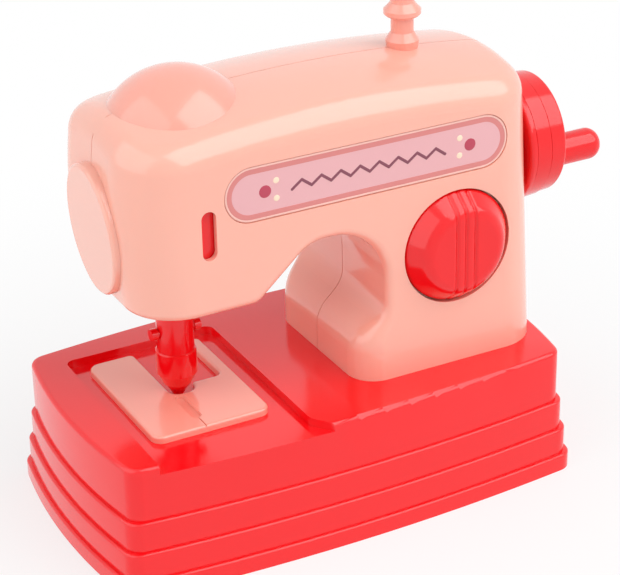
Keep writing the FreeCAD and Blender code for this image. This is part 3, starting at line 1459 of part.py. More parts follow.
clamp_bar = cylinder("clamp_bar", v.clamp_radius, v.clamp_half_length * 2,
                     -v.needle_x - v.clamp_half_length, 0, v.clamp_z, "+X")
clamp_heads = [
    cylinder("clamp_head_left", v.clamp_head_radius, v.clamp_head_length,
             -v.needle_x - v.clamp_half_length, 0, v.clamp_z, "+X"),
    cylinder("clamp_head_right", v.clamp_head_radius, v.clamp_head_length,
             -v.needle_x + v.clamp_half_length, 0, v.clamp_z, "-X"),
]
keep("clamp_pin", fuse("clamp_pin", [clamp_bar] + clamp_heads))

# Check every object, then write each piece
doc.recompute()
broken = [obj.Name for obj in doc.Objects if "Invalid" in obj.State or "Error" in obj.State]
if broken:
    raise RuntimeError(f"broken objects: {broken}")
os.makedirs("parts", exist_ok=True)
for name, obj in nodes.items():
    shape = obj.Shape
    if shape.isNull() or not shape.isValid() or shape.Volume <= 0:
        raise RuntimeError(f"{name}: no valid solid")
    shape.exportStep(f"parts/{name}.step")
    bounds = shape.BoundBox
    print(f"{name}: {len(shape.Solids)} solid(s), {shape.Volume:.0f} cubic mm, "
          f"x {bounds.XMin:.1f} to {bounds.XMax:.1f}, y {bounds.YMin:.1f} to {bounds.YMax:.1f}, "
          f"z {bounds.ZMin:.1f} to {bounds.ZMax:.1f}")
print(f"{len(nodes)} pieces")
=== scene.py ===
"""Dresses and lights the hand-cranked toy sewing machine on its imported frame.

Sizes in the classes are in millimetres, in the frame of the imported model: +Z up, +X from
the needle end to the hand wheel, -Y the front.
"""
import logging
import math
from dataclasses import dataclass
from enum import Enum

import bpy
import numpy as np
from mathutils import Matrix, Vector


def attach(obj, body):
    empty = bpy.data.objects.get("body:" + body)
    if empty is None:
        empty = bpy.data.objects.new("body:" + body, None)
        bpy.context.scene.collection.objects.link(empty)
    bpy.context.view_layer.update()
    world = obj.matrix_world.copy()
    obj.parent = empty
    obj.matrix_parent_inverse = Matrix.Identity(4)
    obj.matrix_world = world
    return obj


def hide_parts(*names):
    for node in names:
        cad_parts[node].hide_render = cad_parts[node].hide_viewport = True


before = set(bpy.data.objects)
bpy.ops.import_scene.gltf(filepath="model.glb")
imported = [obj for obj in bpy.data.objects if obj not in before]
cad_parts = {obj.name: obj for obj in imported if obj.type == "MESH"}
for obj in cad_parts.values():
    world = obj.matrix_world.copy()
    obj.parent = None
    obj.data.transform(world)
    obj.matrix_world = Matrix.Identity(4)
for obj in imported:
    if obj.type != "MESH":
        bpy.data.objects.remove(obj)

Triple = tuple[float, float, float]

MILLIMETRE = 0.001
IMAGE_WIDTH = 620
WHITE = (1.0, 1.0, 1.0, 1.0)
WELD_DECIMALS = 5

# The display curve: a straight foot up to its end, and an offset power above it.
FOOT_END = 0.04045
FOOT_SLOPE = 12.92
CURVE_OFFSET = 0.055
CURVE_POWER = 2.4

log = logging.getLogger("toy_sewing_machine")
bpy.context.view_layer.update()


# Material nodes


def linear(colour: Triple) -> Triple:
    """Turn a display colour into the linear one that a shader takes.

    Args:
        colour: Red, green and blue from 0 to 1 as shown on a screen.

    Returns:
        The same colour in linear light.
    """
    shown = np.asarray(colour, dtype=float)
    low = shown / FOOT_SLOPE
    high = ((shown + CURVE_OFFSET) / (1 + CURVE_OFFSET)) ** CURVE_POWER
    return tuple(float(part) for part in np.where(shown <= FOOT_END, low, high))


def set_inputs(node: bpy.types.Node, values: dict[str, float | tuple[float, ...]]) -> None:
    """Set a node's unlinked inputs.

    Args:
        node: The node.
        values: The inputs' names with their values.
    """
    for name, value in values.items():
        node.inputs[name].default_value = value


def object_place(tree: bpy.types.NodeTree) -> bpy.types.NodeSocket:
    """Return a socket with the place on the piece, in metres."""
    return tree.nodes.new("ShaderNodeTexCoord").outputs["Object"]


def vary_roughness(tree: bpy.types.NodeTree, shader: bpy.types.Node,
                   amount: bpy.types.NodeSocket, middle: float, share: float) -> None:
    """Let a noise move the roughness from middle * (1 - share) to middle * (1 + share).

    Args:
        tree: The material's nodes.
        shader: The shader that gets the roughness.
        amount: The noise, 0 to 1.
        middle: The roughness at the noise's middle.
        share: How far the roughness moves to each side, as a share of its middle.
    """
    gloss = tree.nodes.new("ShaderNodeMapRange")
    set_inputs(gloss, {"To Min": middle * (1 - share), "To Max": middle * (1 + share)})
    tree.links.new(amount, gloss.inputs["Value"])
    tree.links.new(gloss.outputs["Result"], shader.inputs["Roughness"])


def add_bump(tree: bpy.types.NodeTree, shader: bpy.types.Node, height: bpy.types.NodeSocket,
             strength: float, distance: float) -> None:
    """Feed a height into the shader's normal.

    Args:
        tree: The material's nodes.
        shader: The shader that gets the bump.
        height: The height, 0 to 1.
        strength: How much of the bump shows.
        distance: The height of 1, in metres.
    """
    bump = tree.nodes.new("ShaderNodeBump")
    set_inputs(bump, {"Strength": strength, "Distance": distance})
    tree.links.new(height, bump.inputs["Height"])
    tree.links.new(bump.outputs["Normal"], shader.inputs["Normal"])


def seen_rays(tree: bpy.types.NodeTree) -> bpy.types.NodeSocket:
    """Tell which rays show the background: the largest of the camera, clear and gloss rays.

    Args:
        tree: The nodes of a material or of the world.

    Returns:
        The socket, 1 on those rays and 0 on the others.
    """
    path = tree.nodes.new("ShaderNodeLightPath")
    seen = path.outputs["Is Camera Ray"]
    for kind in ("Is Transmission Ray", "Is Glossy Ray"):
        larger = tree.nodes.new("ShaderNodeMath")
        larger.operation = "MAXIMUM"
        tree.links.new(seen, larger.inputs[0])
        tree.links.new(path.outputs[kind], larger.inputs[1])
        seen = larger.outputs[0]
    return seen


def blend_surface(tree: bpy.types.NodeTree, share: bpy.types.NodeSocket,
                  first: bpy.types.NodeSocket, second: bpy.types.NodeSocket,
                  output: str) -> None:
    """Blend two shaders into an output node's surface.

    Args:
        tree: The nodes of a material or of the world.
        share: 0 for the first shader, 1 for the second.
        first: The first shader.
        second: The second shader.
        output: The output node's name.
    """
    blend = tree.nodes.new("ShaderNodeMixShader")
    tree.links.new(share, blend.inputs["Fac"])
    tree.links.new(first, blend.inputs[1])
    tree.links.new(second, blend.inputs[2])
    tree.links.new(blend.outputs["Shader"], tree.nodes[output].inputs["Surface"])


# Finishes


@dataclass(frozen=True)
class Grain:
    """A noise by its cells to a metre and its finer layers."""

    scale: float
    detail: float

    def add(self, tree: bpy.types.NodeTree, where: bpy.types.NodeSocket) -> bpy.types.NodeSocket:
        """Add the noise to a material.

        Args:
            tree: The material's nodes.
            where: The socket that gives the place.

        Returns:
            The socket with the noise, 0 to 1.
        """
        node = tree.nodes.new("ShaderNodeTexNoise")
        set_inputs(node, {"Scale": self.scale, "Detail": self.detail})
        tree.links.new(where, node.inputs["Vector"])
        return node.outputs["Fac"]


@dataclass(frozen=True)
class Plastic:
    """Moulded gloss plastic with a faint drift of colour and a fine moulded skin.

    The colour is a blend of two close shades by a slow noise, the roughness wanders a
    little by a second noise, and a fine noise gives the skin's bump. Heights are in metres.
    """

    name: str
    colour: Triple
    shade: Triple
    roughness: float = 0.22
    coat: float = 0.35
    glow: float = 0.0
    colour_grain: Grain = Grain(22.0, 2.0)
    gloss_grain: Grain = Grain(90.0, 3.0)
    gloss_share: float = 0.15
    skin_grain: Grain = Grain(1500.0, 2.0)
    skin_strength: float = 0.04
    skin_height: float = 0.00004
    refraction: float = 1.5
    coat_roughness: float = 0.08
    glow_radius: Triple = (0.004, 0.0015, 0.001)
    glow_scale: float = 0.5

    def fill(self, tree: bpy.types.NodeTree) -> None:
        """Lay out the plastic's nodes.

        Args:
            tree: The nodes of a new material.
        """
        shader = tree.nodes["Principled BSDF"]
        where = object_place(tree)
        blend = tree.nodes.new("ShaderNodeMix")
        blend.data_type = "RGBA"
        set_inputs(blend, {"A": (*linear(self.colour), 1.0), "B": (*linear(self.shade), 1.0)})
        tree.links.new(self.colour_grain.add(tree, where), blend.inputs["Factor"])
        tree.links.new(blend.outputs["Result"], shader.inputs["Base Color"])
        vary_roughness(tree, shader, self.gloss_grain.add(tree, where), self.roughness,
                       self.gloss_share)
        add_bump(tree, shader, self.skin_grain.add(tree, where), self.skin_strength,
                 self.skin_height)
        set_inputs(shader, {"IOR": self.refraction, "Coat Weight": self.coat,
                            "Coat Roughness": self.coat_roughness})
        if self.glow:
            set_inputs(shader, {"Subsurface Weight": self.glow,
                                "Subsurface Radius": self.glow_radius,
                                "Subsurface Scale": self.glow_scale})


@dataclass(frozen=True)
class Steel:
    """Drawn or plated steel: a metallic shader with fine lines, stretched along one axis."""

    name: str
    colour: Triple = (0.70, 0.71, 0.73)
    roughness: float = 0.28
    stretch: Triple = (1.0, 12.0, 12.0)
    gloss_share: float = 0.3
    line_grain: Grain = Grain(300.0, 3.0)
    line_strength: float = 0.1
    line_height: float = 0.00002

    def fill(self, tree: bpy.types.NodeTree) -> None:
        """Lay out the steel's nodes.

        Args:
            tree: The nodes of a new material.
        """
        shader = tree.nodes["Principled BSDF"]
        set_inputs(shader, {"Base Color": (*linear(self.colour), 1.0), "Metallic": 1.0})
        drawn = tree.nodes.new("ShaderNodeMapping")
        set_inputs(drawn, {"Scale": self.stretch})
        tree.links.new(object_place(tree), drawn.inputs["Vector"])
        lines = self.line_grain.add(tree, drawn.outputs["Vector"])
        vary_roughness(tree, shader, lines, self.roughness, self.gloss_share)
        add_bump(tree, shader, lines, self.line_strength, self.line_height)


class Finish(Enum):
    """Every finish that the toy has."""

    SHELL = Plastic("pink_shell_plastic", (0.985, 0.715, 0.640), (0.980, 0.700, 0.625),
                    coat=0.6, glow=0.1)
    # On the dome this darker pink is painted shade in place of the shell pink.
    TRIM = Plastic("pink_trim_plastic", (0.980, 0.660, 0.590), (0.975, 0.645, 0.575),
                   coat=0.6, glow=0.1)
    BASE = Plastic("red_base_plastic", (0.965, 0.050, 0.090), (0.955, 0.040, 0.080),
                   roughness=0.14, coat=0.2)
    CONTROLS = Plastic("red_control_plastic", (0.950, 0.040, 0.080), (0.935, 0.030, 0.070),
                       roughness=0.13, coat=0.15)
    LABEL_RIM = Plastic("label_rim_print", (0.955, 0.760, 0.715), (0.945, 0.745, 0.700),
                        roughness=0.3)
    LABEL_BORDER = Plastic("label_border_print", (0.860, 0.515, 0.500), (0.850, 0.500, 0.485),
                           roughness=0.3)
    LABEL_FIELD = Plastic("label_field_print", (0.915, 0.690, 0.705), (0.905, 0.675, 0.690),
                          roughness=0.3)
    LABEL_THREAD = Plastic("label_thread_print", (0.520, 0.260, 0.330), (0.500, 0.240, 0.310),
                           roughness=0.4)
    LABEL_DARK_DOT = Plastic("label_dark_dot_print", (0.740, 0.230, 0.330),
                             (0.720, 0.215, 0.315), roughness=0.35)
    LABEL_PALE_DOT = Plastic("label_pale_dot_print", (0.990, 0.890, 0.780),
                             (0.985, 0.875, 0.765), roughness=0.35)
    INNER = Plastic("inner_white_plastic", (0.870, 0.860, 0.830), (0.850, 0.840, 0.810),
                    roughness=0.45, coat=0.0)
    STEEL = Steel("drawn_steel")
    PLATED = Steel("plated_screw_steel", (0.76, 0.77, 0.79), 0.2, (1.0, 1.0, 1.0))

    def material(self) -> bpy.types.Material:
        """Return the finish's material, which is made once."""
        made = bpy.data.materials.get(self.value.name)
        if made is None:
            made = bpy.data.materials.new(self.value.name)
            made.use_nodes = True
            self.value.fill(made.node_tree)
        return made


# Meshes from arrays


def volume(points: np.ndarray, faces: np.ndarray) -> float:
    """Signed volume of a closed mesh of quads: the sum over its triangles of a . (b x c) / 6.

    Args:
        points: Vertices, one per row.
        faces: Four corner numbers per row.

    Returns:
        The volume, positive where the faces point outwards.
    """
    a, b, c, d = (points[faces[:, i]] for i in range(4))
    return float((np.cross(b, c) * a).sum() + (np.cross(c, d) * a).sum()) / 6.0


def solid(name: str, points: np.ndarray, faces: np.ndarray,
          smooth_below: float = 35.0) -> bpy.types.Object:
    """Make an object from points and quads, welded where points meet, with faces outwards.

    Args:
        name: The piece's name.
        points: Vertices in millimetres, one per row.
        faces: Four corner numbers per row; a row may name one point twice.
        smooth_below: Edges that turn by more degrees than this stay crisp.

    Returns:
        The object, at the origin, linked to the scene.
    """
    welded, where = np.unique(np.round(points.reshape(-1, 3), WELD_DECIMALS), axis=0,
                              return_inverse=True)
    corners = where.reshape(-1)[faces]
    if volume(welded, corners) < 0:
        corners = corners[:, ::-1]
    kept = corners != np.roll(corners, 1, axis=1)
    counts = kept.sum(axis=1)
    whole = counts >= 3
    loops = corners[whole][kept[whole]]
    counts = counts[whole]
    starts = np.concatenate([[0], np.cumsum(counts)[:-1]])
    mesh = bpy.data.meshes.new(name)
    mesh.vertices.add(len(welded))
    mesh.vertices.foreach_set("co", (welded * MILLIMETRE).astype(np.float32).ravel())
    mesh.loops.add(len(loops))
    mesh.loops.foreach_set("vertex_index", loops.astype(np.int32))
    mesh.polygons.add(len(counts))
    mesh.polygons.foreach_set("loop_start", starts.astype(np.int32))
    mesh.update(calc_edges=True)
    mesh.validate()
    mesh.polygons.foreach_set("use_smooth", np.ones(len(mesh.polygons), dtype=bool))
    mesh.set_sharp_from_angle(angle=math.radians(smooth_below))
    piece = bpy.data.objects.new(name, mesh)
    bpy.context.scene.collection.objects.link(piece)
    return piece


def grid_faces(rows: int, columns: int, wrap_rows: bool, wrap_columns: bool) -> np.ndarray:
    """Corner numbers of the quads of a grid.

    Args:
        rows: Points along the first parameter.
        columns: Points along the second parameter.
        wrap_rows: Whether the last row joins the first.
        wrap_columns: Whether the last column joins the first.

    Returns:
        An array with four corner numbers per quad.
    """
    numbers = np.arange(rows * columns).reshape(rows, columns)
    if wrap_rows:
        numbers = np.vstack([numbers, numbers[:1]])
    if wrap_columns:
        numbers = np.hstack([numbers, numbers[:, :1]])
    corners = (numbers[:-1, :-1], numbers[1:, :-1], numbers[1:, 1:], numbers[:-1, 1:])
    return np.stack(corners, axis=-1).reshape(-1, 4)


def rounded(corners: list[Triple], steps: int) -> np.ndarray:
    """Round the corners of an open run of straight lines.

    Each corner (a, b, r) gets a quadratic curve from r before it to r after it:
    (1-t)^2 start + 2t(1-t) corner + t^2 end.

    Args:
        corners: Places and how far from each the rounding starts; 0 keeps it sharp.
        steps: Points per rounded corner, less one.

    Returns:
        The points of the rounded run, one per row.
    """
    places = np.array([corner[:2] for corner in corners], dtype=float)
    run = [places[:1]]
    t = np.linspace(0.0, 1.0, steps + 1)[:, None]
    for before, place, after, (_, _, reach) in zip(places, places[1:], places[2:], corners[1:-1]):
        if reach == 0:
            run.append(place[None])
            continue
        start = place + (before - place) * reach / np.linalg.norm(before - place)
        end = place + (after - place) * reach / np.linalg.norm(after - place)
        run.append((1 - t) ** 2 * start + 2 * t * (1 - t) * place + t ** 2 * end)
    run.append(places[-1:])
    return np.vstack(run)


# The view


@dataclass
class Camera:
    """The camera of the photograph, fitted to the toy's edges."""

    place: Triple = (-283.5, -558.2, 382.0)
    azimuth: float = -27.123
    elevation: float = 26.773
    roll: float = -1.368
    focal_pixels: float = 2084.38
    shift_right: float = 10.38
    shift_up: float = 11.39
    sensor_width: float = 36.0
    near_metres: float = 0.01
    far_metres: float = 20.0

    def build(self) -> None:
        """Create the camera and make it the scene's."""
        across, height, turn = (
            math.radians(angle) for angle in (self.azimuth, self.elevation, self.roll))
        back = Vector((math.sin(across) * math.cos(height), -math.cos(across) * math.cos(height),
                       math.sin(height)))
        level = Vector((0, 0, 1)).cross(back).normalized()
        upright = back.cross(level)
        right = math.cos(turn) * level + math.sin(turn) * upright
        up = -math.sin(turn) * level + math.cos(turn) * upright
        lens = bpy.data.cameras.new("photo_camera")
        lens.sensor_width = self.sensor_width
        lens.lens = self.focal_pixels * self.sensor_width / IMAGE_WIDTH
        lens.shift_x = self.shift_right / IMAGE_WIDTH
        lens.shift_y = self.shift_up / IMAGE_WIDTH
        lens.clip_start = self.near_metres
        lens.clip_end = self.far_metres
        camera = bpy.data.objects.new("photo_camera", lens)
        turned_frame = Matrix((right, up, back)).transposed().to_4x4()
        camera.matrix_world = Matrix.Translation(Vector(self.place) * MILLIMETRE) @ turned_frame
        bpy.context.scene.collection.objects.link(camera)
        bpy.context.scene.camera = camera
        log.info("camera with a lens of %.1f mm", lens.lens)


@dataclass(frozen=True)
class Lamp:
    """One square lamp that faces the toy, with its side in metres and its power in watts."""

    name: str
    place: Triple
    side: float
    power: float

    def hang(self, target: Triple) -> None:
        """Hang the lamp.

        Args:
            target: The place that it faces.
        """
        light = bpy.data.lights.new(self.name, "AREA")
        light.shape = "SQUARE"
        light.size = self.side
        light.energy = self.power
        hung = bpy.data.objects.new(self.name, light)
        hung.location = Vector(self.place) * MILLIMETRE
        aim = Vector(target) * MILLIMETRE - hung.location
        hung.rotation_mode = "QUATERNION"
        hung.rotation_quaternion = aim.to_track_quat("-Z", "Y")
        bpy.context.scene.collection.objects.link(hung)


@dataclass
class Studio:
    """A plain white floor under soft lamps, which shows whiter away from the toy."""

    floor_half_width: float = 3000.0
    floor_points: int = 3
    floor_colour: Triple = (0.9, 0.9, 0.9)
    floor_roughness: float = 0.6
    white_near_metres: float = 0.10
    white_far_metres: float = 0.30
    white_near_share: float = 0.7
    world_level: float = 0.40
    target: Triple = (0.0, 0.0, 80.0)
    lamps: tuple[Lamp, ...] = (
        Lamp("key_lamp", (520, -640, 1000), side=1.35, power=13.0),
        Lamp("side_lamp", (-1100, 0, 700), side=1.8, power=10.5),
    )

    def build(self) -> None:
        """Lay the floor, hang the lamps and set the world."""
        view = bpy.context.scene.view_settings
        view.view_transform = "Standard"
        self.lay_floor()
        for lamp in self.lamps:
            lamp.hang(self.target)
        self.set_world()

    def lay_floor(self) -> None:
        """Lay the floor as a shallow grid."""
        side = np.linspace(-self.floor_half_width, self.floor_half_width, self.floor_points)
        x, y = np.meshgrid(side, side, indexing="ij")
        points = np.stack([x, y, np.zeros_like(x)], axis=-1).reshape(-1, 3) * MILLIMETRE
        faces = grid_faces(self.floor_points, self.floor_points, False, False)
        mesh = bpy.data.meshes.new("studio_floor")
        mesh.from_pydata(points.tolist(), [], faces.tolist())
        floor = bpy.data.objects.new("studio_floor", mesh)
        bpy.context.scene.collection.objects.link(floor)
        mesh.materials.append(self.floor_material())

    def floor_material(self) -> bpy.types.Material:
        """Build the floor's white material.

        To the camera it glows white by a share that rises smoothly with the distance from
        the toy, and the rest of it is plain white that takes the toy's shadow.

        Returns:
            The material.
        """
        made = bpy.data.materials.new("floor_white")
        made.use_nodes = True
        tree = made.node_tree
        shader = tree.nodes["Principled BSDF"]
        set_inputs(shader, {"Base Color": (*self.floor_colour, 1.0),
                            "Roughness": self.floor_roughness})
        glow = tree.nodes.new("ShaderNodeEmission")
        set_inputs(glow, {"Color": WHITE})
        far = tree.nodes.new("ShaderNodeVectorMath")
        far.operation = "LENGTH"
        tree.links.new(object_place(tree), far.inputs[0])
        share = tree.nodes.new("ShaderNodeMapRange")
        share.interpolation_type = "SMOOTHSTEP"
        set_inputs(share, {"From Min": self.white_near_metres,
                           "From Max": self.white_far_metres,
                           "To Min": self.white_near_share})
        tree.links.new(far.outputs["Value"], share.inputs["Value"])
        seen = tree.nodes.new("ShaderNodeMath")
        seen.operation = "MULTIPLY"
        tree.links.new(seen_rays(tree), seen.inputs[0])
        tree.links.new(share.outputs["Result"], seen.inputs[1])
        blend_surface(tree, seen.outputs[0], shader.outputs["BSDF"], glow.outputs["Emission"],
                      "Material Output")
        return made

    def set_world(self) -> None:
        """Light the scene softly, with a white background for the camera and for gloss."""
        world = bpy.data.worlds.new("studio_world")
        bpy.context.scene.world = world
        world.use_nodes = True
        tree = world.node_tree
        soft = tree.nodes["Background"]
        set_inputs(soft, {"Color": WHITE, "Strength": self.world_level})
        white = tree.nodes.new("ShaderNodeBackground")
        set_inputs(white, {"Color": WHITE, "Strength": 1.0})
        blend_surface(tree, seen_rays(tree), soft.outputs["Background"],
                      white.outputs["Background"], "World Output")


# Sub-assemblies


def dress(finish: Finish, *nodes: str) -> None:
    """Give carried-over CAD nodes their finish.

    Args:
        finish: The finish that they get.
        *nodes: The nodes' names.
    """
    for node in nodes:
        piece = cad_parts[node]
        piece.data.materials.clear()
        piece.data.materials.append(finish.material())
        log.info("dressed %s as %s", node, finish.name)


def mount(piece: bpy.types.Object, finish: Finish, body: str, slot: str, *nodes: str) -> None:
    """Finish a new piece and put it on its body.

    Args:
        piece: The new piece.
        finish: The finish that it gets.
        body: The body that it rides on.
        slot: The record's material slot; not used.
        *nodes: The CAD nodes that it stands for.
    """
    piece.data.materials.append(finish.material())
    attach(piece, body)
    if nodes:
        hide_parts(*nodes)
    log.info("made %s with %d faces", piece.name, len(piece.data.polygons))


@dataclass
class BaseBox:
    """The red stepped base with the needle plate in its bed."""

    crisp_above: float = 28.0
    weld_metres: float = 0.000001

    def build(self) -> None:
        """Dress the base and what is fixed to it."""
        dress(Finish.BASE, "base_shell", "base_bottom_cover")
        self.even_shading("base_shell")
        dress(Finish.PLATED, "bottom_cover_screws")
        dress(Finish.TRIM, "needle_plate")

    def even_shading(self, node: str) -> None:
        """Shade a CAD node's narrow roundings evenly, by modifiers over its untouched mesh.

        Each corner's normal is the mean of the faces round it, weighted by their angles
        there, and stops at edges that stay crisp.

        Args:
            node: The node's name.
        """
        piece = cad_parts[node]
        weld = piece.modifiers.new("weld", "WELD")
        weld.merge_threshold = self.weld_metres
        crisp = piece.modifiers.new("crisp_edges", "EDGE_SPLIT")
        crisp.split_angle = math.radians(self.crisp_above)
        evened = piece.modifiers.new("even_normals", "WEIGHTED_NORMAL")
        evened.mode = "CORNER_ANGLE"
        log.info("evened %s", node)


@dataclass
class Body:
    """The pink two-part body with its dome, end cap and spool pin, and what it holds inside."""

    def build(self) -> None:
        """Dress the shells and what is fixed to them."""
        dress(Finish.SHELL, "front_body_shell", "rear_body_shell", "head_end_cap")
        # The dome is the shell's plastic, but it takes the darker trim pink as painted shade for
        # the lesser light its top gives back.
        dress(Finish.TRIM, "head_dome", "spool_pin")
        dress(Finish.PLATED, "shell_screws", "pillar_screws", "click_spring_screw")
        dress(Finish.STEEL, "guide_rods", "click_spring")
        dress(Finish.INNER, "head_side_bush", "wheel_side_bush")


@dataclass
class Label:
    """The round-ended label on the front: rim, border, field, a zigzag seam and dots."""

    centre_x: float = 12.6
    centre_z: float = 122.8
    half_length: float = 50.9
    half_height: float = 9.1
    back_y: float = -30.4
    face_y: float = -31.0
    field_sink: float = 0.15
    rim_width: float = 0.7
    rim_inner_rounding: float = 0.15
    rim_outer_rounding: float = 0.25
    border_width: float = 1.7
    border_rise: float = 0.05
    border_rounding: float = 0.05
    rounding_steps: int = 4
    straight_points: int = 60
    end_points: int = 40
    stitch_length: float = 4.32
    stitch_rise: float = 2.592
    stitch_radius: float = 0.5
    stitches: int = 16
    dark_dot_place: float = 37.0
    dark_dot_radius: float = 2.1
    pale_dot_inset: float = 3.9
    pale_dot_rise: float = 3.0
    pale_dot_radius: float = 1.05
    pill_height: float = 0.14
    pill_rings: int = 9
    pill_segments: int = 24
    pill_smooth_below: float = 80.0

    @property
    def field_y(self) -> float:
        """The face that the seam and the dots lie on."""
        return self.face_y + self.field_sink

    def build(self) -> None:
        """Build the label's plates, its seam and its dots."""
        edge = self.half_height
        inner_rim = edge - self.rim_width
        inner_border = inner_rim - self.border_width
        border_y = self.field_y - self.border_rise
        rim = self.band("label_rim", [
            (inner_rim, self.back_y, 0), (inner_rim, self.face_y, self.rim_inner_rounding),
            (edge, self.face_y, self.rim_outer_rounding), (edge, self.back_y, 0),
        ], ring=True)
        border = self.band("label_border", [
            (inner_border, self.back_y, 0), (inner_border, border_y, self.border_rounding),
            (inner_rim, border_y, 0), (inner_rim, self.back_y, 0),
        ], ring=True)
        field = self.band("label_field", [
            (0, self.field_y, 0), (inner_border, self.field_y, 0),
            (inner_border, self.back_y, 0), (0, self.back_y, 0),
        ], ring=False)
        ends = np.array([[-self.dark_dot_place, 0.0], [self.dark_dot_place, 0.0]])
        inwards = np.array([[self.pale_dot_inset, self.pale_dot_rise],
                            [self.pale_dot_inset, -self.pale_dot_rise]])
        beside = np.vstack([ends[0] + inwards, ends[1] - inwards])
        mount(rim, Finish.LABEL_RIM, "machine", "label_print", "label_plaque")
        for piece, finish in (
                (border, Finish.LABEL_BORDER),
                (field, Finish.LABEL_FIELD),
                (self.seam(), Finish.LABEL_THREAD),
                (self.dots("label_dark_dots", ends, self.dark_dot_radius), Finish.LABEL_DARK_DOT),
                (self.dots("label_pale_dots", beside, self.pale_dot_radius),
                 Finish.LABEL_PALE_DOT)):
            mount(piece, finish, "machine", "label_print")

    def band(self, name: str, corners: list[Triple], ring: bool) -> bpy.types.Object:
        """Build one closed band or plate of the label.

        Args:
            name: The piece's name.
            corners: The cross-section's corners: distance out, y and rounding.
            ring: Whether the cross-section closes on itself.

        Returns:
            The object.
        """
        grid = self.round_the_edge(rounded(corners, self.rounding_steps))
        return solid(name, grid, grid_faces(grid.shape[0], grid.shape[1], True, ring))

    def round_the_edge(self, profile: np.ndarray) -> np.ndarray:
        """Carry a profile round the label's edge: spine(s) + out * n(s), at depth y.

        The spine runs to the right and back along the label's middle, and n is the edge's
        normal, which turns by half a turn at each end.

        Args:
            profile: Rows of distance out from the spine and y.

        Returns:
            A grid of points, first along the edge and then along the profile.
        """
        straight = self.half_length - self.half_height
        quarter = np.pi / 2
        run = np.linspace(-straight, straight, self.straight_points)
        turn = np.linspace(0.0, np.pi, self.end_points)[1:-1]
        spine = np.concatenate([run, np.full(turn.size, straight),
                                run[::-1], np.full(turn.size, -straight)])
        angle = np.concatenate([np.full(run.size, quarter), quarter - turn,
                                np.full(run.size, -quarter), -quarter - turn])[:, None]
        out = profile[None, :, 0]
        x = self.centre_x + spine[:, None] + out * np.cos(angle)
        z = self.centre_z + out * np.sin(angle)
        y = np.broadcast_to(profile[None, :, 1], x.shape)
        return np.stack([x, y, z], axis=-1)

    def seam(self) -> bpy.types.Object:
        """Lay a zigzag of stitches: each leans the other way from the one before.

        Returns:
            The seam.
        """
        count = np.arange(self.stitches)
        pitch = math.sqrt(self.stitch_length ** 2 - self.stitch_rise ** 2)
        x = (count - (self.stitches - 1) / 2) * pitch
        lean = math.asin(self.stitch_rise / self.stitch_length)
        leans = np.where(count % 2 == 0, lean, -lean)
        return self.pills("label_seam", np.stack([x, np.zeros_like(x)], axis=-1), leans,
                          self.stitch_length / 2, self.stitch_radius)

    def dots(self, name: str, places: np.ndarray, radius: float) -> bpy.types.Object:
        """Lay round dots.

        Args:
            name: The piece's name.
            places: x and z of each dot from the label's centre.
            radius: Each dot's radius.

        Returns:
            The dots.
        """
        return self.pills(name, places, np.zeros(len(places)), 0.0, radius)

    def pills(self, name: str, places: np.ndarray, leans: np.ndarray, half_length: float,
              radius: float) -> bpy.types.Object:
        """Make many low pills: a sphere stretched along its length, flattened and turned.

        Args:
            name: The piece's name.
            places: x and z of each pill from the label's centre.
            leans: The turn of each pill in the label's face.
            half_length: Half of each pill's straight length.
            radius: Each pill's radius.

        Returns:
            One object with all the pills.
        """
        rings, segments = self.pill_rings, self.pill_segments
        centres = places + np.array([self.centre_x, self.centre_z])
        down = np.linspace(0.0, np.pi, rings)[:, None]
        about = np.linspace(0.0, 2 * np.pi, segments, endpoint=False)[None, :]
        u = radius * np.sin(down) * np.cos(about)
        u = u + np.sign(np.round(u, WELD_DECIMALS)) * half_length
        w = radius * np.sin(down) * np.sin(about)
        rise = np.broadcast_to(np.cos(down) * self.pill_height, u.shape)
        turn = leans[:, None, None]
        x = centres[:, 0, None, None] + u * np.cos(turn) - w * np.sin(turn)
        z = centres[:, 1, None, None] + u * np.sin(turn) + w * np.cos(turn)
        points = np.stack([x, self.field_y - np.broadcast_to(rise, x.shape), z], axis=-1)
        first = np.arange(len(centres))[:, None, None] * rings * segments
        faces = (grid_faces(rings, segments, False, True)[None] + first).reshape(-1, 4)
        return solid(name, points.reshape(-1, 3), faces, self.pill_smooth_below)


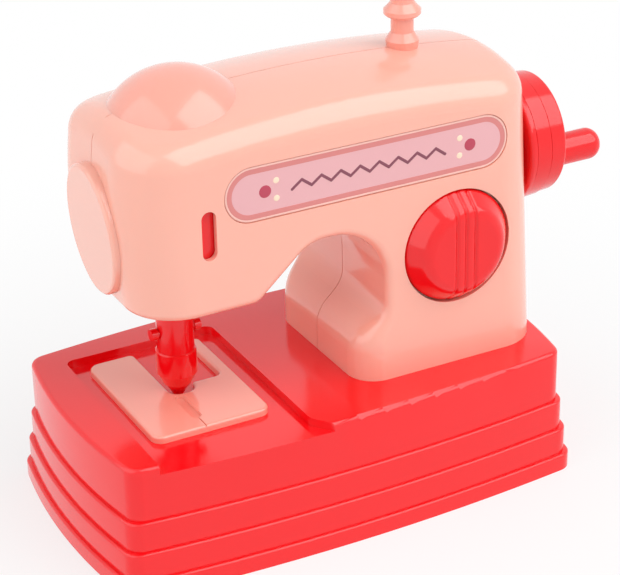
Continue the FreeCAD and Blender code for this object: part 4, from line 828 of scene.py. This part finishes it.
@dataclass
class Dial:
    """The front dial: a soft-edged cap with three shallow grooves down its face, on its axle."""

    centre: tuple[float, float] = (45.2, 87.9)
    back_y: float = -28.3
    rise: float = 8.9
    rim_rise: float = 2.2
    radius: float = 19.6
    rim_rounding: float = 1.0
    face_radius: float = 14.2
    face_rounding: float = 2.6
    rounding_steps: int = 12
    axle_radius: float = 4.0
    axle_length: float = 10.6
    pilot_radius: float = 1.55
    pilot_length: float = 8.0
    groove_places: tuple[float, ...] = (-3.5, 0.0, 3.5)
    groove_depth: float = 0.75
    groove_half_width: float = 0.55
    groove_fade_from: float = 0.4
    groove_fade_over: float = 1.6
    segments: int = 480
    step: float = 0.25
    smooth_below: float = 50.0

    def front(self) -> np.ndarray:
        """Lay out the front's profile, from the middle of the face to the rim.

        Returns:
            Rows of height over the back and radius, a step apart.
        """
        run = rounded([
            (self.rise, 0.0, 0), (self.rise, self.face_radius, self.face_rounding),
            (self.rim_rise, self.radius, self.rim_rounding), (0.0, self.radius, 0),
        ], self.rounding_steps)
        gone = np.concatenate([[0.0], np.cumsum(np.linalg.norm(np.diff(run, axis=0), axis=1))])
        places = np.linspace(0.0, gone[-1], int(gone[-1] / self.step))
        return np.stack([np.interp(places, gone, run[:, i]) for i in range(2)], axis=-1)

    def rear(self) -> np.ndarray:
        """Lay out the axle's profile and its pilot hole's, from the rim inwards.

        Returns:
            Rows of height over the back and radius.
        """
        hole_end = self.pilot_length - self.axle_length
        return np.array([
            (0.0, self.axle_radius), (-self.axle_length, self.axle_radius),
            (-self.axle_length, self.pilot_radius), (hole_end, self.pilot_radius),
            (hole_end, 0.0),
        ])

    def build(self) -> None:
        """Turn the profile and press the grooves into it.

        The front sinks by depth * s^2 (3 - 2s) * sum of exp(-((x - x_i) / w)^2), where s goes
        from 0 at the foot of the rim's side to 1 above it.
        """
        profile = np.vstack([self.front(), self.rear()])
        angle = np.linspace(0.0, 2 * np.pi, self.segments, endpoint=False)[:, None]
        height = np.broadcast_to(profile[None, :, 0], (self.segments, len(profile)))
        x = profile[None, :, 1] * np.cos(angle)
        z = profile[None, :, 1] * np.sin(angle)
        grooves = sum(np.exp(-((x - place) / self.groove_half_width) ** 2)
                      for place in self.groove_places)
        share = np.clip((height - self.groove_fade_from) / self.groove_fade_over, 0.0, 1.0)
        sink = self.groove_depth * grooves * share * share * (3 - 2 * share)
        grid = np.stack([self.centre[0] + x, self.back_y - height + sink, self.centre[1] + z],
                        axis=-1)
        faces = grid_faces(self.segments, len(profile), True, False)
        dial = solid("dial_cap", grid, faces, self.smooth_below)
        mount(dial, Finish.CONTROLS, "dial", "red_controls", "front_dial")


@dataclass
class Controls:
    """The hand wheel with its knob and shaft, the needle slide and the dial's inner parts."""

    def build(self) -> None:
        """Dress everything that moves, but for the dial's cap."""
        dress(Finish.CONTROLS, "hand_wheel", "crank_knob", "needle_carriage", "needle_block",
              "clamp_pin")
        dress(Finish.INNER, "dial_click_wheel", "crank_disc", "knob_pin")
        dress(Finish.STEEL, "drive_shaft", "crank_pin")
        dress(Finish.PLATED, "hand_wheel_screw", "dial_screw")


def main() -> None:
    """Build the scene in order."""
    logging.basicConfig(level=logging.INFO, format="%(name)s: %(message)s")
    Camera().build()
    Studio().build()
    for assembly in (BaseBox(), Body(), Label(), Dial(), Controls()):
        assembly.build()
    log.info("sizes written")


if __name__ == "__main__":
    main()
